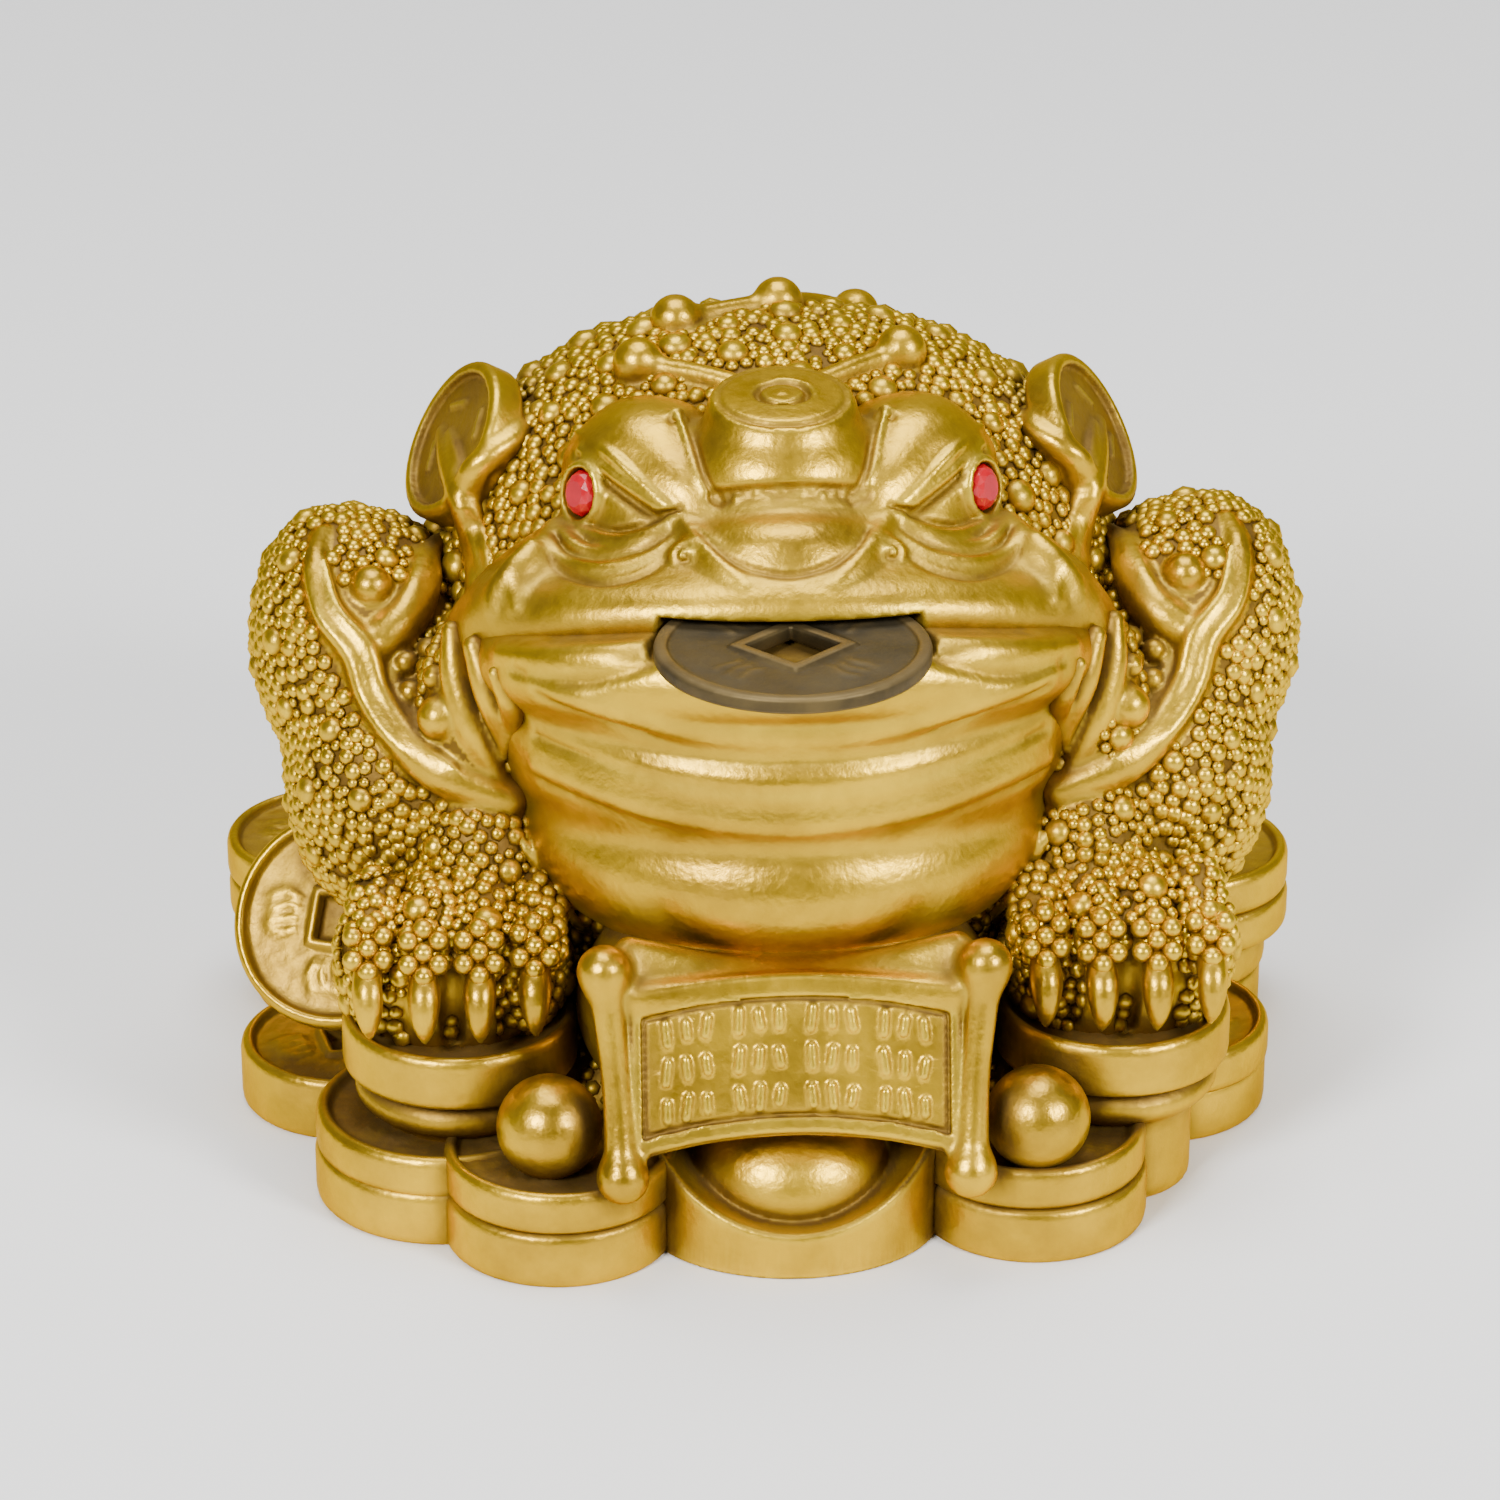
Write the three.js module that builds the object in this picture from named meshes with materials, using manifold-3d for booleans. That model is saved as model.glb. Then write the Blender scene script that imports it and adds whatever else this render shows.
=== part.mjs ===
// A money toad: a three-legged toad cast in gold-painted resin, squatting on a heap of coins,
// with a loose bronze coin in its mouth and a red gem in each eye.
// The toad faces -Y and +Z is up. Left and right are the viewer's, looking at its face.
// The origin is on the flat underside, below the middle of the heap. Lengths are in millimetres.
import * as THREE from "three";
import Module from "manifold-3d";
import { mergeVertices } from "three/addons/utils/BufferGeometryUtils.js";

// Sizes of the heap that the toad sits on
const heapHalfWidth = 41; // from the middle out to the centres of the outer coins
const heapHalfDepth = 41;
const heapCoinRadius = 10.4;
const lowestThickness = 5.2; // of the coins that stand on the ground
const layerThickness = 3.9; // of every coin higher up
const singleThickness = 6; // of a coin that lies alone
const castCoinRim = 1.6; // width of the raised rim
const castCoinRecess = 0.8;
const castCoinHole = 4.2; // side of the square hole
const pearlRadius = 4.7;
const leaningCoinRadius = 10.2;
const leaningCoinThickness = 2.8;
const pawCoinRadius = 10.6;
const pawCoinThickness = 5;
const pawCoinRise = 3.4; // above the lower coins, on a narrower foot

// Sizes of the toad, whose carving is laid out in shares: 66.5 of them make its height
const toadHeight = 66.5; // from the top of the lower coins to the top of its back
const unit = toadHeight / 66.5;

// The loose coin and the slot that holds it
const mouthCoinRadius = 12;
const mouthCoinThickness = 1.5;
const mouthCoinHole = 5.6;
const mouthCoinRim = 1.1;
const mouthCoinRecess = 0.25;
const mouthCoinGap = 0.3; // all round the coin
const mouthGape = 0.4; // of air above the coin, below the upper lip

// The eye gems and their sockets
const gemHalfWidth = 1.8;
const gemHalfHeight = 2.1;
const gemDepth = 1.7;
const gemProud = 0.7; // how far the gem stands out of the eyeball
const gemGap = 0.3;

// The scroll that hangs below the belly
const scrollWidth = 29;
const scrollHeight = 14.5;
const scrollThickness = 5;
const scrollArch = 50; // radius of its arched lower edge
const scrollHem = 2;
const scrollRelief = 0.6; // of the hems and the strokes
const rodRadius = 1.5;
const rodKnobRadius = 2.5;
const rodSplay = 4.5; // degrees: the rods stand further apart at the top
const strokeRows = 2;
const strokesPerRow = 3;

// Fineness of the facets
const roundSides = 12;
const broadSides = 16;
const coinSides = 12;
const looseCoinSides = 20;

const heapTop = lowestThickness + layerThickness;
const degrees = THREE.MathUtils.degToRad;
const flanks = [-1, 1];

const wasm = await Module();
wasm.setup();

// Turns a closed geometry into a solid.
function solid(geometry, matrix = new THREE.Matrix4()) {
  const bare = geometry.clone().applyMatrix4(matrix);
  bare.deleteAttribute("normal");
  bare.deleteAttribute("uv");
  const merged = mergeVertices(bare, 1e-4);
  return new wasm.Manifold(
    new wasm.Mesh({
      numProp: 3,
      vertProperties: merged.attributes.position.array,
      triVerts: new Uint32Array(merged.index.array),
    }),
  );
}

// Turns a solid back into a geometry.
function geometryOf(made) {
  const mesh = made.getMesh();
  const geometry = new THREE.BufferGeometry();
  geometry.setAttribute("position", new THREE.BufferAttribute(mesh.vertProperties, 3));
  geometry.setIndex(new THREE.BufferAttribute(mesh.triVerts, 1));
  return geometry.toNonIndexed();
}

function joined(made) {
  return wasm.Manifold.union(made);
}

// A placing matrix: scaled, turned about X, then Y, then Z, in degrees, and moved.
function placing(at, turn = [0, 0, 0], scale = [1, 1, 1]) {
  const angles = new THREE.Euler(...turn.map(degrees), "ZYX");
  return new THREE.Matrix4().compose(
    new THREE.Vector3(...at),
    new THREE.Quaternion().setFromEuler(angles),
    new THREE.Vector3(...scale),
  );
}

// A point of the toad, given in shares of its height above the lower coins.
function onToad([x, y, z]) {
  return [x * unit, y * unit, heapTop + z * unit];
}

function mirrored([x, y, z], flank) {
  return [-flank * x, y, z];
}

// An upright cylinder that stands on z = 0
function post(radius, height, sides = coinSides) {
  const geometry = new THREE.CylinderGeometry(radius, radius, height, sides);
  return geometry.rotateX(Math.PI / 2).translate(0, 0, height / 2);
}

// An egg-shaped lump of the toad
function lump({ at, radii, turn = [0, 0, 0] }, sides = roundSides) {
  const ball = new THREE.SphereGeometry(1, sides, Math.round(sides / 2));
  ball.rotateX(Math.PI / 2);
  return solid(ball, placing(onToad(at), turn, radii.map((radius) => radius * unit)));
}

function knob(at, radius, detail = 0) {
  const ball = new THREE.IcosahedronGeometry(radius * unit, detail);
  return solid(ball, placing(onToad(at)));
}

// How far out the skin of a lump is, along one axis and its direction, over the other two axes
function skinAlong({ at, radii }, axis, direction, point) {
  const rest = [0, 1, 2].filter((other) => other !== axis);
  const inside = 1 - rest.reduce((sum, other) => sum + ((point[other] - at[other]) / radii[other]) ** 2, 0);
  return at[axis] + direction * radii[axis] * Math.sqrt(Math.max(0, inside));
}

// A strand that changes its thickness along a smooth curve through points of the toad
function strand(points, thickness, steps = 6, sides = 5) {
  const curve = new THREE.CatmullRomCurve3(points.map((point) => new THREE.Vector3(...onToad(point))));
  const frames = curve.computeFrenetFrames(steps, false);
  const positions = [];
  const faces = [];
  for (let ring = 0; ring <= steps; ring++) {
    const radius = thickness(ring / steps) * unit;
    const middle = curve.getPointAt(ring / steps);
    for (let side = 0; side < sides; side++) {
      const angle = (2 * Math.PI * side) / sides;
      const out = frames.normals[ring]
        .clone()
        .multiplyScalar(Math.cos(angle) * radius)
        .addScaledVector(frames.binormals[ring], Math.sin(angle) * radius);
      positions.push(...out.add(middle).toArray());
    }
  }
  for (let ring = 0; ring < steps; ring++) {
    for (let side = 0; side < sides; side++) {
      const a = ring * sides + side;
      const b = ring * sides + ((side + 1) % sides);
      faces.push(a, b, a + sides, b, b + sides, a + sides);
    }
  }
  const ends = positions.length / 3;
  positions.push(...curve.getPoint(0).toArray(), ...curve.getPoint(1).toArray());
  for (let side = 0; side < sides; side++) {
    const next = (side + 1) % sides;
    faces.push(ends, next, side);
    faces.push(ends + 1, steps * sides + side, steps * sides + next);
  }
  const geometry = new THREE.BufferGeometry();
  geometry.setAttribute("position", new THREE.Float32BufferAttribute(positions, 3));
  geometry.setIndex(faces);
  return solid(geometry);
}

const tapering = (thick, thin) => (along) => thick + (thin - thick) * along;

// How much further out the skin of a squared lump is between its top and its sides
function squaring(square, { x, z }) {
  return 1 + square * (x * z) ** 2;
}

// A lump covered with warts: corners of its facets that don't touch are raised, where keep says so
function wartyLump({ at, radii, square = 0 }, detail, wartHeight, keep) {
  const ball = new THREE.IcosahedronGeometry(1, detail);
  ball.deleteAttribute("normal");
  ball.deleteAttribute("uv");
  const skin = mergeVertices(ball, 1e-4);
  const places = skin.attributes.position;
  const corners = skin.index.array;
  const beside = Array.from({ length: places.count }, () => new Set());
  corners.forEach((corner, each) => {
    const next = corners[each % 3 === 2 ? each - 2 : each + 1];
    beside[corner].add(next);
    beside[next].add(corner);
  });
  const raised = new Set();
  const way = new THREE.Vector3();
  for (let each = 0; each < places.count; each++) {
    way.fromBufferAttribute(places, each);
    const point = way.toArray().map((share, axis) => at[axis] + share * radii[axis]);
    const touches = [...beside[each]].some((other) => raised.has(other));
    let swell = squaring(square, way);
    if (!touches && keep(point, way)) {
      raised.add(each);
      swell += (wartHeight * (1 + 0.25 * Math.sin(7.3 * each))) / Math.min(...radii);
    }
    places.setXYZ(each, way.x * swell, way.y * swell, way.z * swell);
  }
  return solid(skin, placing(onToad(at), [0, 0, 0], radii.map((radius) => radius * unit)));
}

// Lays a coin on a pile: its rim stands up all round, and its face and its square hole are sunk in it
function laid(pile, radius, thickness, matrix, holed = true) {
  const dish = solid(post(radius - castCoinRim, thickness)).translate(0, 0, thickness - castCoinRecess);
  const square = solid(new THREE.BoxGeometry(castCoinHole, castCoinHole, thickness));
  const hole = square.translate(0, 0, 1.5 * thickness - 2 * castCoinRecess);
  const cuts = holed ? dish.add(hole) : dish;
  return pile.add(solid(post(radius, thickness), matrix)).subtract(cuts.transform(matrix.elements));
}

// The stacks of coins round the heap: the angle where each stands, in degrees from the front, and for
// each of its coins, from the ground up, how far it stands in from the heap's half width
const stacks = [
  { angle: -29, insets: [-1.8, -1.6] },
  { angle: -48, insets: [-0.8, -0.6], radius: 11.8 },
  { angle: -77, insets: [0] },
  { angle: -108, insets: [-0.6, -0.4, -2.9, -3] },
  { angle: -139, insets: [0, 0.6] },
  { angle: -171, insets: [0, 0.6] },
  { angle: 32, insets: [0, 0.4] },
  { angle: 70, insets: [3.6, 3.4] },
  { angle: 100, insets: [3.4, 3, 0.9, 1] },
  { angle: 131, insets: [0, 0.6] },
  { angle: 160, insets: [0, 0.6] },
];
const plainBeyond = 125; // degrees: the coins behind the toad have no rim
const tuck = 0.5; // every second stack is this much lower, so it tucks under its neighbours
const leaningAngle = -75;
const leanTilt = 56; // degrees from lying flat
const leanTurn = 56; // degrees towards the front

function around(angle, inset = 0) {
  return [
    (heapHalfWidth - inset) * Math.sin(degrees(angle)),
    -(heapHalfDepth - inset) * Math.cos(degrees(angle)),
  ];
}

function heap() {
  const dome = new THREE.SphereGeometry(1, 12, 5);
  dome.rotateX(Math.PI / 2);
  const moundSize = [0.94 * heapHalfWidth, 0.94 * heapHalfDepth, 2.4 * heapTop];
  const mound = solid(dome, placing([0, 0, 0], [0, 0, 0], moundSize));
  let pile = mound;
  const layered = (layer, odd) => {
    stacks.forEach(({ angle, insets, radius = heapCoinRadius }, each) => {
      if (layer >= insets.length || each % 2 !== odd) return;
      const [x, y] = around(angle, insets[layer]);
      const rise = layer > 0 ? lowestThickness + (layer - 1) * layerThickness - odd * tuck : 0;
      const ground = insets.length === 1 ? singleThickness : lowestThickness;
      const thickness = layer > 0 ? layerThickness : ground;
      const matrix = placing([x, y, rise], [0, 0, angle]);
      const plain = layer < insets.length - 1 || Math.abs(angle) > plainBeyond;
      pile = plain
        ? pile.add(solid(post(radius, thickness), matrix))
        : laid(pile, radius, thickness, matrix, layer > 1);
    });
  };
  for (let layer = 0; layer < 4; layer++) {
    layered(layer, 1);
    layered(layer, 0);
  }
  const [leanX, leanY] = around(leaningAngle, -0.5);
  const leanRise = heapTop + 0.6 + leaningCoinRadius * Math.sin(degrees(leanTilt));
  const leaning = placing([leanX, leanY, leanRise], [leanTilt, 0, leaningAngle + leanTurn]);
  pile = laid(pile, leaningCoinRadius, leaningCoinThickness, leaning);
  const pieces = [ingot()];
  flanks.forEach((flank) => {
    const [x, y] = mirrored(onToad([-29.5, -27.2, 0]), flank);
    pieces.push(solid(post(pawCoinRadius, pawCoinThickness), placing([x, y, heapTop + pawCoinRise])));
    pieces.push(solid(post(0.84 * pawCoinRadius, heapTop + pawCoinRise + 1), placing([x, y, 0])));
    const pearl = new THREE.SphereGeometry(pearlRadius, 10, 6);
    pearl.rotateX(Math.PI / 2);
    pieces.push(solid(pearl, placing([...around(28 * flank, -5), heapTop + 0.7 * pearlRadius])));
  });
  return joined([pile, ...pieces]);
}

// The boat-shaped ingot in the middle of the front, with its egg
function ingot() {
  const halfLength = 13.4;
  const halfWidth = 11;
  const waist = 4.4; // height of the rim in the middle
  const trough = 16; // radius of the hollow between its two ends
  const forward = heapHalfDepth - 5;
  const hull = solid(post(1, heapTop + 1, 20), placing([0, -forward, 0], [0, 0, 0], [halfLength, halfWidth, 1]));
  const hollow = new THREE.CylinderGeometry(trough, trough, 4 * halfWidth, 20);
  const egg = new THREE.SphereGeometry(1, 12, 6);
  egg.rotateX(Math.PI / 2);
  return hull
    .subtract(solid(hollow, placing([0, -forward, waist + trough])))
    .add(solid(egg, placing([0, -0.4 - forward, 5.6], [0, 0, 0], [8.2, 7.8, 6.4])));
}

// The trunk, the belly, the rolls of the throat and the one hind leg
const back = { at: [0, 5, 22], radii: [33.8, 33, 39.6], square: 0.3 };
const belly = { at: [0, -12, 23.2], radii: [25.8, 27.4, 12.8] };
const throat = { at: [0, -12.2, 31.9], radii: [27, 26.1, 15] };
const lowerLip = [-1, -0.84, -0.55, 0, 0.55, 0.84, 1].map((share) => {
  const forward = Math.sqrt(1 - share * share);
  return [27 * share, -16.5 - 20.5 * forward, 38.9 + 4.2 * forward];
});

function trunk() {
  const warty = ([x, y, z], { y: ahead }) =>
    z > 16 && !(z > 28 && Math.abs(x) < 22 && y < -9) && !(y > 36 && z < 24) && ahead > -0.75;
  const pieces = [
    wartyLump(back, 7, 1.9, warty),
    lump(belly, 18),
    lump({ at: [0, -12.2, 33.6], radii: [27.2, 26, 8] }, broadSides),
    lump({ at: [0, -15.2, 39.3], radii: [27.6, 23.4, 5.6], turn: [-15, 0, 0] }, broadSides),
    lump(throat, broadSides),
    strand(lowerLip, () => 2.6, 8, 4),
    lump({ at: [0, 37, 14], radii: [13.5, 10.5, 15] }),
    lump({ at: [0, 44.5, 2.5], radii: [8.5, 6, 4.5] }, 10),
  ];
  const toeAngles = [-32, 0, 32];
  toeAngles.forEach((angle) => {
    const tip = [11 * Math.sin(degrees(angle)), 40 + 10 * Math.cos(degrees(angle)), 0.6];
    pieces.push(strand([[0.4 * tip[0], 43, 3], tip], tapering(3, 1.5), 2));
  });
  return joined(pieces);
}

// The upper head is drawn in its own directions: across, forward and up, pitched to look up
const headPitch = 28;
const mouthHinge = [0, -16, 38.5];
const eyeRadius = 6.2;
const gemLook = [0.74, -0.64, 0.2]; // the way the right gem looks

function onHead([x, forward, up]) {
  const pitch = degrees(headPitch);
  return [
    x,
    mouthHinge[1] - forward * Math.cos(pitch) + up * Math.sin(pitch),
    mouthHinge[2] + forward * Math.sin(pitch) + up * Math.cos(pitch),
  ];
}

const eyeAt = [13.4, 3, 14];

function head() {
  const pitched = [-headPitch, 0, 0];
  const onHeadLump = (at, radii, turn = pitched) => ({ at: onHead(at), radii, turn });
  const pieces = [
    lump(onHeadLump([0, 0.5, 2.6], [28, 17.6, 7.2]), broadSides),
    lump(onHeadLump([0, -2, 7], [21.5, 16.5, 12])),
    lump(onHeadLump([0, 9.5, 7.2], [9.2, 8.4, 4.4])),
    lump(onHeadLump([0, 5, 13], [7.6, 8, 7.6])),
    lump(onHeadLump([0, -4, 12], [9, 12, 10.5]), 10),
    lump({ at: [0, -15.4, 57.1], radii: [8.4, 8.2, 5] }, 10),
    lump({ at: [0, -15.2, 60.6], radii: [6.2, 6, 1.6] }, 10),
  ];
  flanks.forEach((flank) => {
    const brow = [headPitch - 40, flank * 22, flank * 20];
    pieces.push(lump(onHeadLump([flank * 12.6, 2.2, 17.6], [6.8, 7.6, 4.4], brow), 10));
    const ridge = [
      [12.2, 4.6, 18.8],
      [10.3, 8.4, 16.1],
      [7.9, 11.4, 12.2],
    ];
    const onBrow = ([x, forward, up]) => onHead([flank * x, forward, up]);
    pieces.push(strand(ridge.map(onBrow), tapering(3.6, 1.2), 3));
    pieces.push(lump(onHeadLump([flank * eyeAt[0], eyeAt[1], eyeAt[2]], [eyeRadius, eyeRadius, eyeRadius]), 10));
    pieces.push(lump({ at: [flank * 22.4, -14.6, 43.9], radii: [7.8, 8.4, 3.7], turn: [-26, flank * 43, 0] }, 8));
    pieces.push(lump({ at: [flank * 26, -16.2, 39.7], radii: [4.4, 4.8, 3], turn: [0, flank * 24, 0] }, 8));
    pieces.push(knob(onHead([flank * 9, 14.6, 6.6]), 1.5));
    for (let fold = 0; fold < 2; fold++) {
      const lid = [
        onHead([flank * 7.4, 12.2 + 0.6 * fold, 10.4 - 1.9 * fold]),
        onHead([flank * 13.5, 11.4 + 0.9 * fold, 8.8 - 1.7 * fold]),
        onHead([flank * (20 + fold), 5.6 + 0.5 * fold, 8.6 - 2 * fold]),
      ];
      pieces.push(strand(lid, (along) => 1.5 - 1.2 * Math.abs(2 * along - 1), 4, 4));
    }
  });
  const lip = [-1, -0.75, -0.4, 0, 0.4, 0.75, 1].map((share) =>
    onHead([27.2 * share, 18.1 * Math.sqrt(1.02 - share * share) - 0.9, 1.3]),
  );
  pieces.push(strand(lip, () => 2, 10, 4));
  return joined(pieces);
}

// The front legs: the high elbow, the forearm and the paw, all warty
const elbow = { at: [-37.8, -2.5, 33.2], radii: [9.6, 13, 12.4] };
const forearm = { at: [-35.2, -10, 23.5], radii: [9.6, 12, 13] };
const paw = { at: [-30, -24.4, 11.6], radii: [10.2, 10.4, 8.6] };
const clawCount = 4;
const clawPitch = 4.9;

function frontLeg(flank) {
  const left = (point) => mirrored(point, flank);
  const ofLeft = ({ at, radii }) => ({ at: left(at), radii });
  const outside = ([x, y, z]) => Math.abs(x) > 30 && z > 8 && !(y < -6 && z > 20 && Math.abs(x) < 43);
  const onPaw = ([, y, z]) => z > 7 && y < -18;
  const pieces = [
    wartyLump(ofLeft(elbow), 3, 1.4, outside),
    wartyLump(ofLeft(forearm), 2, 1.4, outside),
    wartyLump(ofLeft(paw), 2, 1.1, onPaw),
  ];
  for (let claw = 0; claw < clawCount; claw++) {
    const share = claw - (clawCount - 1) / 2;
    const x = paw.at[0] + share * clawPitch;
    const y = -34.5 + 0.55 * share * share;
    const root = [(x + paw.at[0]) / 2, (y + paw.at[1]) / 2, 15];
    const talon = [
      root,
      [x, y + 1.2, 17],
      [x, y - 2, 14.2],
      [x, y - 2.2, 9.6],
    ];
    pieces.push(strand(talon.map(left), (along) => 2.9 - 2.2 * along ** 2, 5, 4));
  }
  const onFront = ([x, z]) => {
    const point = [x, 0, z];
    const ahead = Math.min(...[elbow, forearm, belly].map((each) => skinAlong(each, 1, -1, point)));
    return left([x, ahead, z]);
  };
  const flames = [
    [[-24.5, 29], [-30, 29.5], [-36, 33], [-40, 39], [-41.5, 44]],
    [[-38.5, 35.5], [-35.6, 38.5], [-32.6, 42.5], [-32.4, 46]],
    [[-25.5, 29.5], [-27.6, 35], [-30.5, 38.5], [-34, 39]],
  ];
  flames.forEach((flame) => pieces.push(strand(flame.map(onFront), tapering(2.3, 1.1), 4, 4)));
  const bays = [
    [-37, 41.5],
    [-31.6, 33.8],
  ];
  bays.forEach((bay) => pieces.push(knob(onFront(bay), 2.2)));
  return joined(pieces);
}

// The coin that stands at each shoulder, and the ribbon that falls from it beside the cheek
const shoulderCoinRadius = 7.7;
const shoulderCoinThickness = 3.4;
const shoulderCoinTilt = 60; // degrees from lying flat
const shoulderCoinTurn = 18; // degrees towards the back

function shoulderCoin(flank) {
  const at = mirrored([-27, 2.5, 50.5], flank);
  const matrix = placing(onToad(at), [0, flank * shoulderCoinTilt, -flank * shoulderCoinTurn]);
  const coin = laid(joined([]), shoulderCoinRadius * unit, shoulderCoinThickness * unit, matrix);
  const ribbon = [
    [-23, 4, 56.5],
    [-23, -3, 54],
    [-25.4, -9, 48],
    [-28, -12.5, 42],
    [-27.2, -15, 36],
  ];
  return coin.add(strand(ribbon.map((point) => mirrored(point, flank)), tapering(2.5, 1.6)));
}

// The seven stars of the plough on the back, joined by ridges
function sevenStars() {
  const stars = [
    [11.5, 0],
    [0.5, -8],
    [-12.4, -1],
    [-8.8, 6.5],
    [0.8, 11],
    [8.5, 20],
    [4.5, 30],
  ];
  const unjoined = 3;
  const onBack = ([x, y], sink) => {
    const point = [x, y, skinAlong(back, 2, 1, [x, y, 0])];
    const way = new THREE.Vector3(...point.map((along, axis) => (along - back.at[axis]) / back.radii[axis]));
    const rise = (squaring(back.square, way) - 1) * back.radii[2];
    return [x, y, point[2] + rise / way.z - sink];
  };
  const pieces = stars.map((star) => knob(onBack(star, -0.6), 2.4));
  for (let each = 1; each < stars.length; each++) {
    if (each === unjoined) continue;
    const [from, to] = [stars[each - 1], stars[each]];
    const middle = [(from[0] + to[0]) / 2, (from[1] + to[1]) / 2];
    pieces.push(strand([onBack(from, -0.4), onBack(middle, -0.8), onBack(to, -0.4)], () => 1.4, 2, 3));
  }
  return joined(pieces);
}

// The scroll on its two rods, with rows of strokes where the writing was
function scroll() {
  const lean = 18;
  const frame = placing([0, -heapHalfDepth - 4.6, heapTop + 4.5], [-lean, 0, 0]);
  const inFrame = (geometry, at, turn) => solid(geometry, frame.clone().multiply(placing(at, turn)));
  const arched = (low, high, width, from, depth) => {
    const half = Math.asin(width / 2 / scrollArch);
    const band = new THREE.Shape();
    band.absarc(0, 0, scrollArch + high, Math.PI / 2 - half, Math.PI / 2 + half, false);
    band.absarc(0, 0, scrollArch + low, Math.PI / 2 + half, Math.PI / 2 - half, true);
    const sheet = new THREE.ExtrudeGeometry(band, { depth, bevelEnabled: false, curveSegments: 2 });
    return inFrame(sheet, [0, depth + from, -scrollArch], [90, 0, 0]);
  };
  const panel = arched(scrollHem, scrollHeight - scrollHem, scrollWidth, -1, 1);
  const swell = new THREE.SphereGeometry(1, 10, 5);
  swell.rotateX(Math.PI / 2);
  const pieces = [
    arched(0, scrollHeight, scrollWidth, -scrollRelief, scrollThickness).subtract(panel),
    solid(swell, placing([0, 13 - heapHalfDepth, heapTop + 9], [0, 0, 0], [19, 13.5, 13])),
  ];
  const rowHeight = (scrollHeight - 2 * scrollHem) / strokeRows;
  const pitch = (scrollWidth - 4) / strokesPerRow;
  for (let row = 0; row < strokeRows; row++) {
    for (let each = 0; each < strokesPerRow; each++) {
      const x = (each - (strokesPerRow - 1) / 2) * pitch;
      const arch = Math.sqrt(scrollArch * scrollArch - x * x) - scrollArch;
      const z = scrollHem + rowHeight * (row + 0.5) + arch;
      const tall = rowHeight * (0.5 + 0.2 * Math.sin(2.1 * each + row));
      const bar = new THREE.BoxGeometry(0.8, 2 * scrollRelief, tall);
      pieces.push(inFrame(bar, [x, 0, z], [0, 24 * Math.sin(1.7 * each + 2 * row), 0]));
    }
  }
  flanks.forEach((flank) => {
    const x = flank * (scrollWidth / 2 + rodRadius / 2);
    const [low, high] = [-3.4, scrollHeight + 0.4];
    const splayed = (end) => x + flank * (end - low) * Math.tan(degrees(rodSplay));
    pieces.push(inFrame(post(rodRadius, high - low, 6), [x, 0, low], [0, flank * rodSplay, 0]));
    [low, high].forEach((end) => {
      pieces.push(inFrame(new THREE.IcosahedronGeometry(rodKnobRadius, 0), [splayed(end), 0, end]));
    });
  });
  return joined(pieces);
}

// The place of the loose coin, its slot and the gape above it
const mouthCoinAt = onToad([0, -36, 45.8]);

function mouthSlot() {
  const radius = mouthCoinRadius + mouthCoinGap;
  const height = mouthCoinThickness + 2 * mouthCoinGap + mouthGape;
  const [x, y, z] = mouthCoinAt;
  const ahead = new THREE.BoxGeometry(2 * radius, 2 * radius, height);
  return solid(post(radius, height, looseCoinSides), placing([x, y, z - mouthCoinGap])).add(
    solid(ahead, placing([x, y - radius, z - mouthCoinGap + height / 2])),
  );
}

// The frame of an eye gem: its back in the eyeball, with Z the way it looks
function gemFrame(flank) {
  const look = new THREE.Vector3(flank * gemLook[0], gemLook[1], gemLook[2]).normalize();
  const middle = new THREE.Vector3(...onToad(onHead([flank * eyeAt[0], eyeAt[1], eyeAt[2]])));
  middle.addScaledVector(look, eyeRadius * unit + gemProud - gemDepth);
  const across = new THREE.Vector3(0, 0, 1).cross(look).normalize();
  const upward = look.clone().cross(across);
  return new THREE.Matrix4().makeBasis(across, upward, look).setPosition(middle);
}

// A gem with a flat back and a faceted front, grown all round by a margin
function gemShape(flank, margin) {
  const profile = [
    [0, -margin],
    [1, -margin],
    [1, 0.5 * gemDepth],
    [0.6, gemDepth + margin],
    [0, gemDepth + margin],
  ];
  const lathe = new THREE.LatheGeometry(profile.map((point) => new THREE.Vector2(...point)), 10);
  lathe.rotateX(Math.PI / 2);
  lathe.scale(gemHalfWidth + margin, gemHalfHeight + margin, 1);
  return solid(lathe, gemFrame(flank));
}

const materials = {
  gold: new THREE.MeshStandardMaterial({ color: 0xc79a2c, roughness: 0.36, metalness: 0.85 }),
  bronze: new THREE.MeshStandardMaterial({ color: 0x6b5d3c, roughness: 0.5, metalness: 0.9 }),
  redGem: new THREE.MeshStandardMaterial({ color: 0xd7293c, roughness: 0.15, metalness: 0 }),
};

function named(name, made, material) {
  const mesh = new THREE.Mesh(geometryOf(made), material);
  mesh.name = name;
  return mesh;
}

// Everything that is cast in one piece, trimmed flat below and without hollows inside
function casting() {
  const reach = 2 * (heapHalfWidth + heapHalfDepth + heapCoinRadius);
  const ground = new THREE.BoxGeometry(reach, reach, 4 * heapTop);
  const cuts = [
    mouthSlot(),
    gemShape(-1, gemGap),
    gemShape(1, gemGap),
    solid(ground, placing([0, 0, -2 * heapTop])),
  ];
  const whole = joined([
    heap(),
    trunk(),
    head(),
    ...flanks.map(frontLeg),
    ...flanks.map(shoulderCoin),
    sevenStars(),
    scroll(),
  ]).subtract(joined(cuts));
  const shells = whole.simplify(0.25).decompose();
  return joined(shells.filter((shell) => shell.volume() > 0));
}

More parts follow.
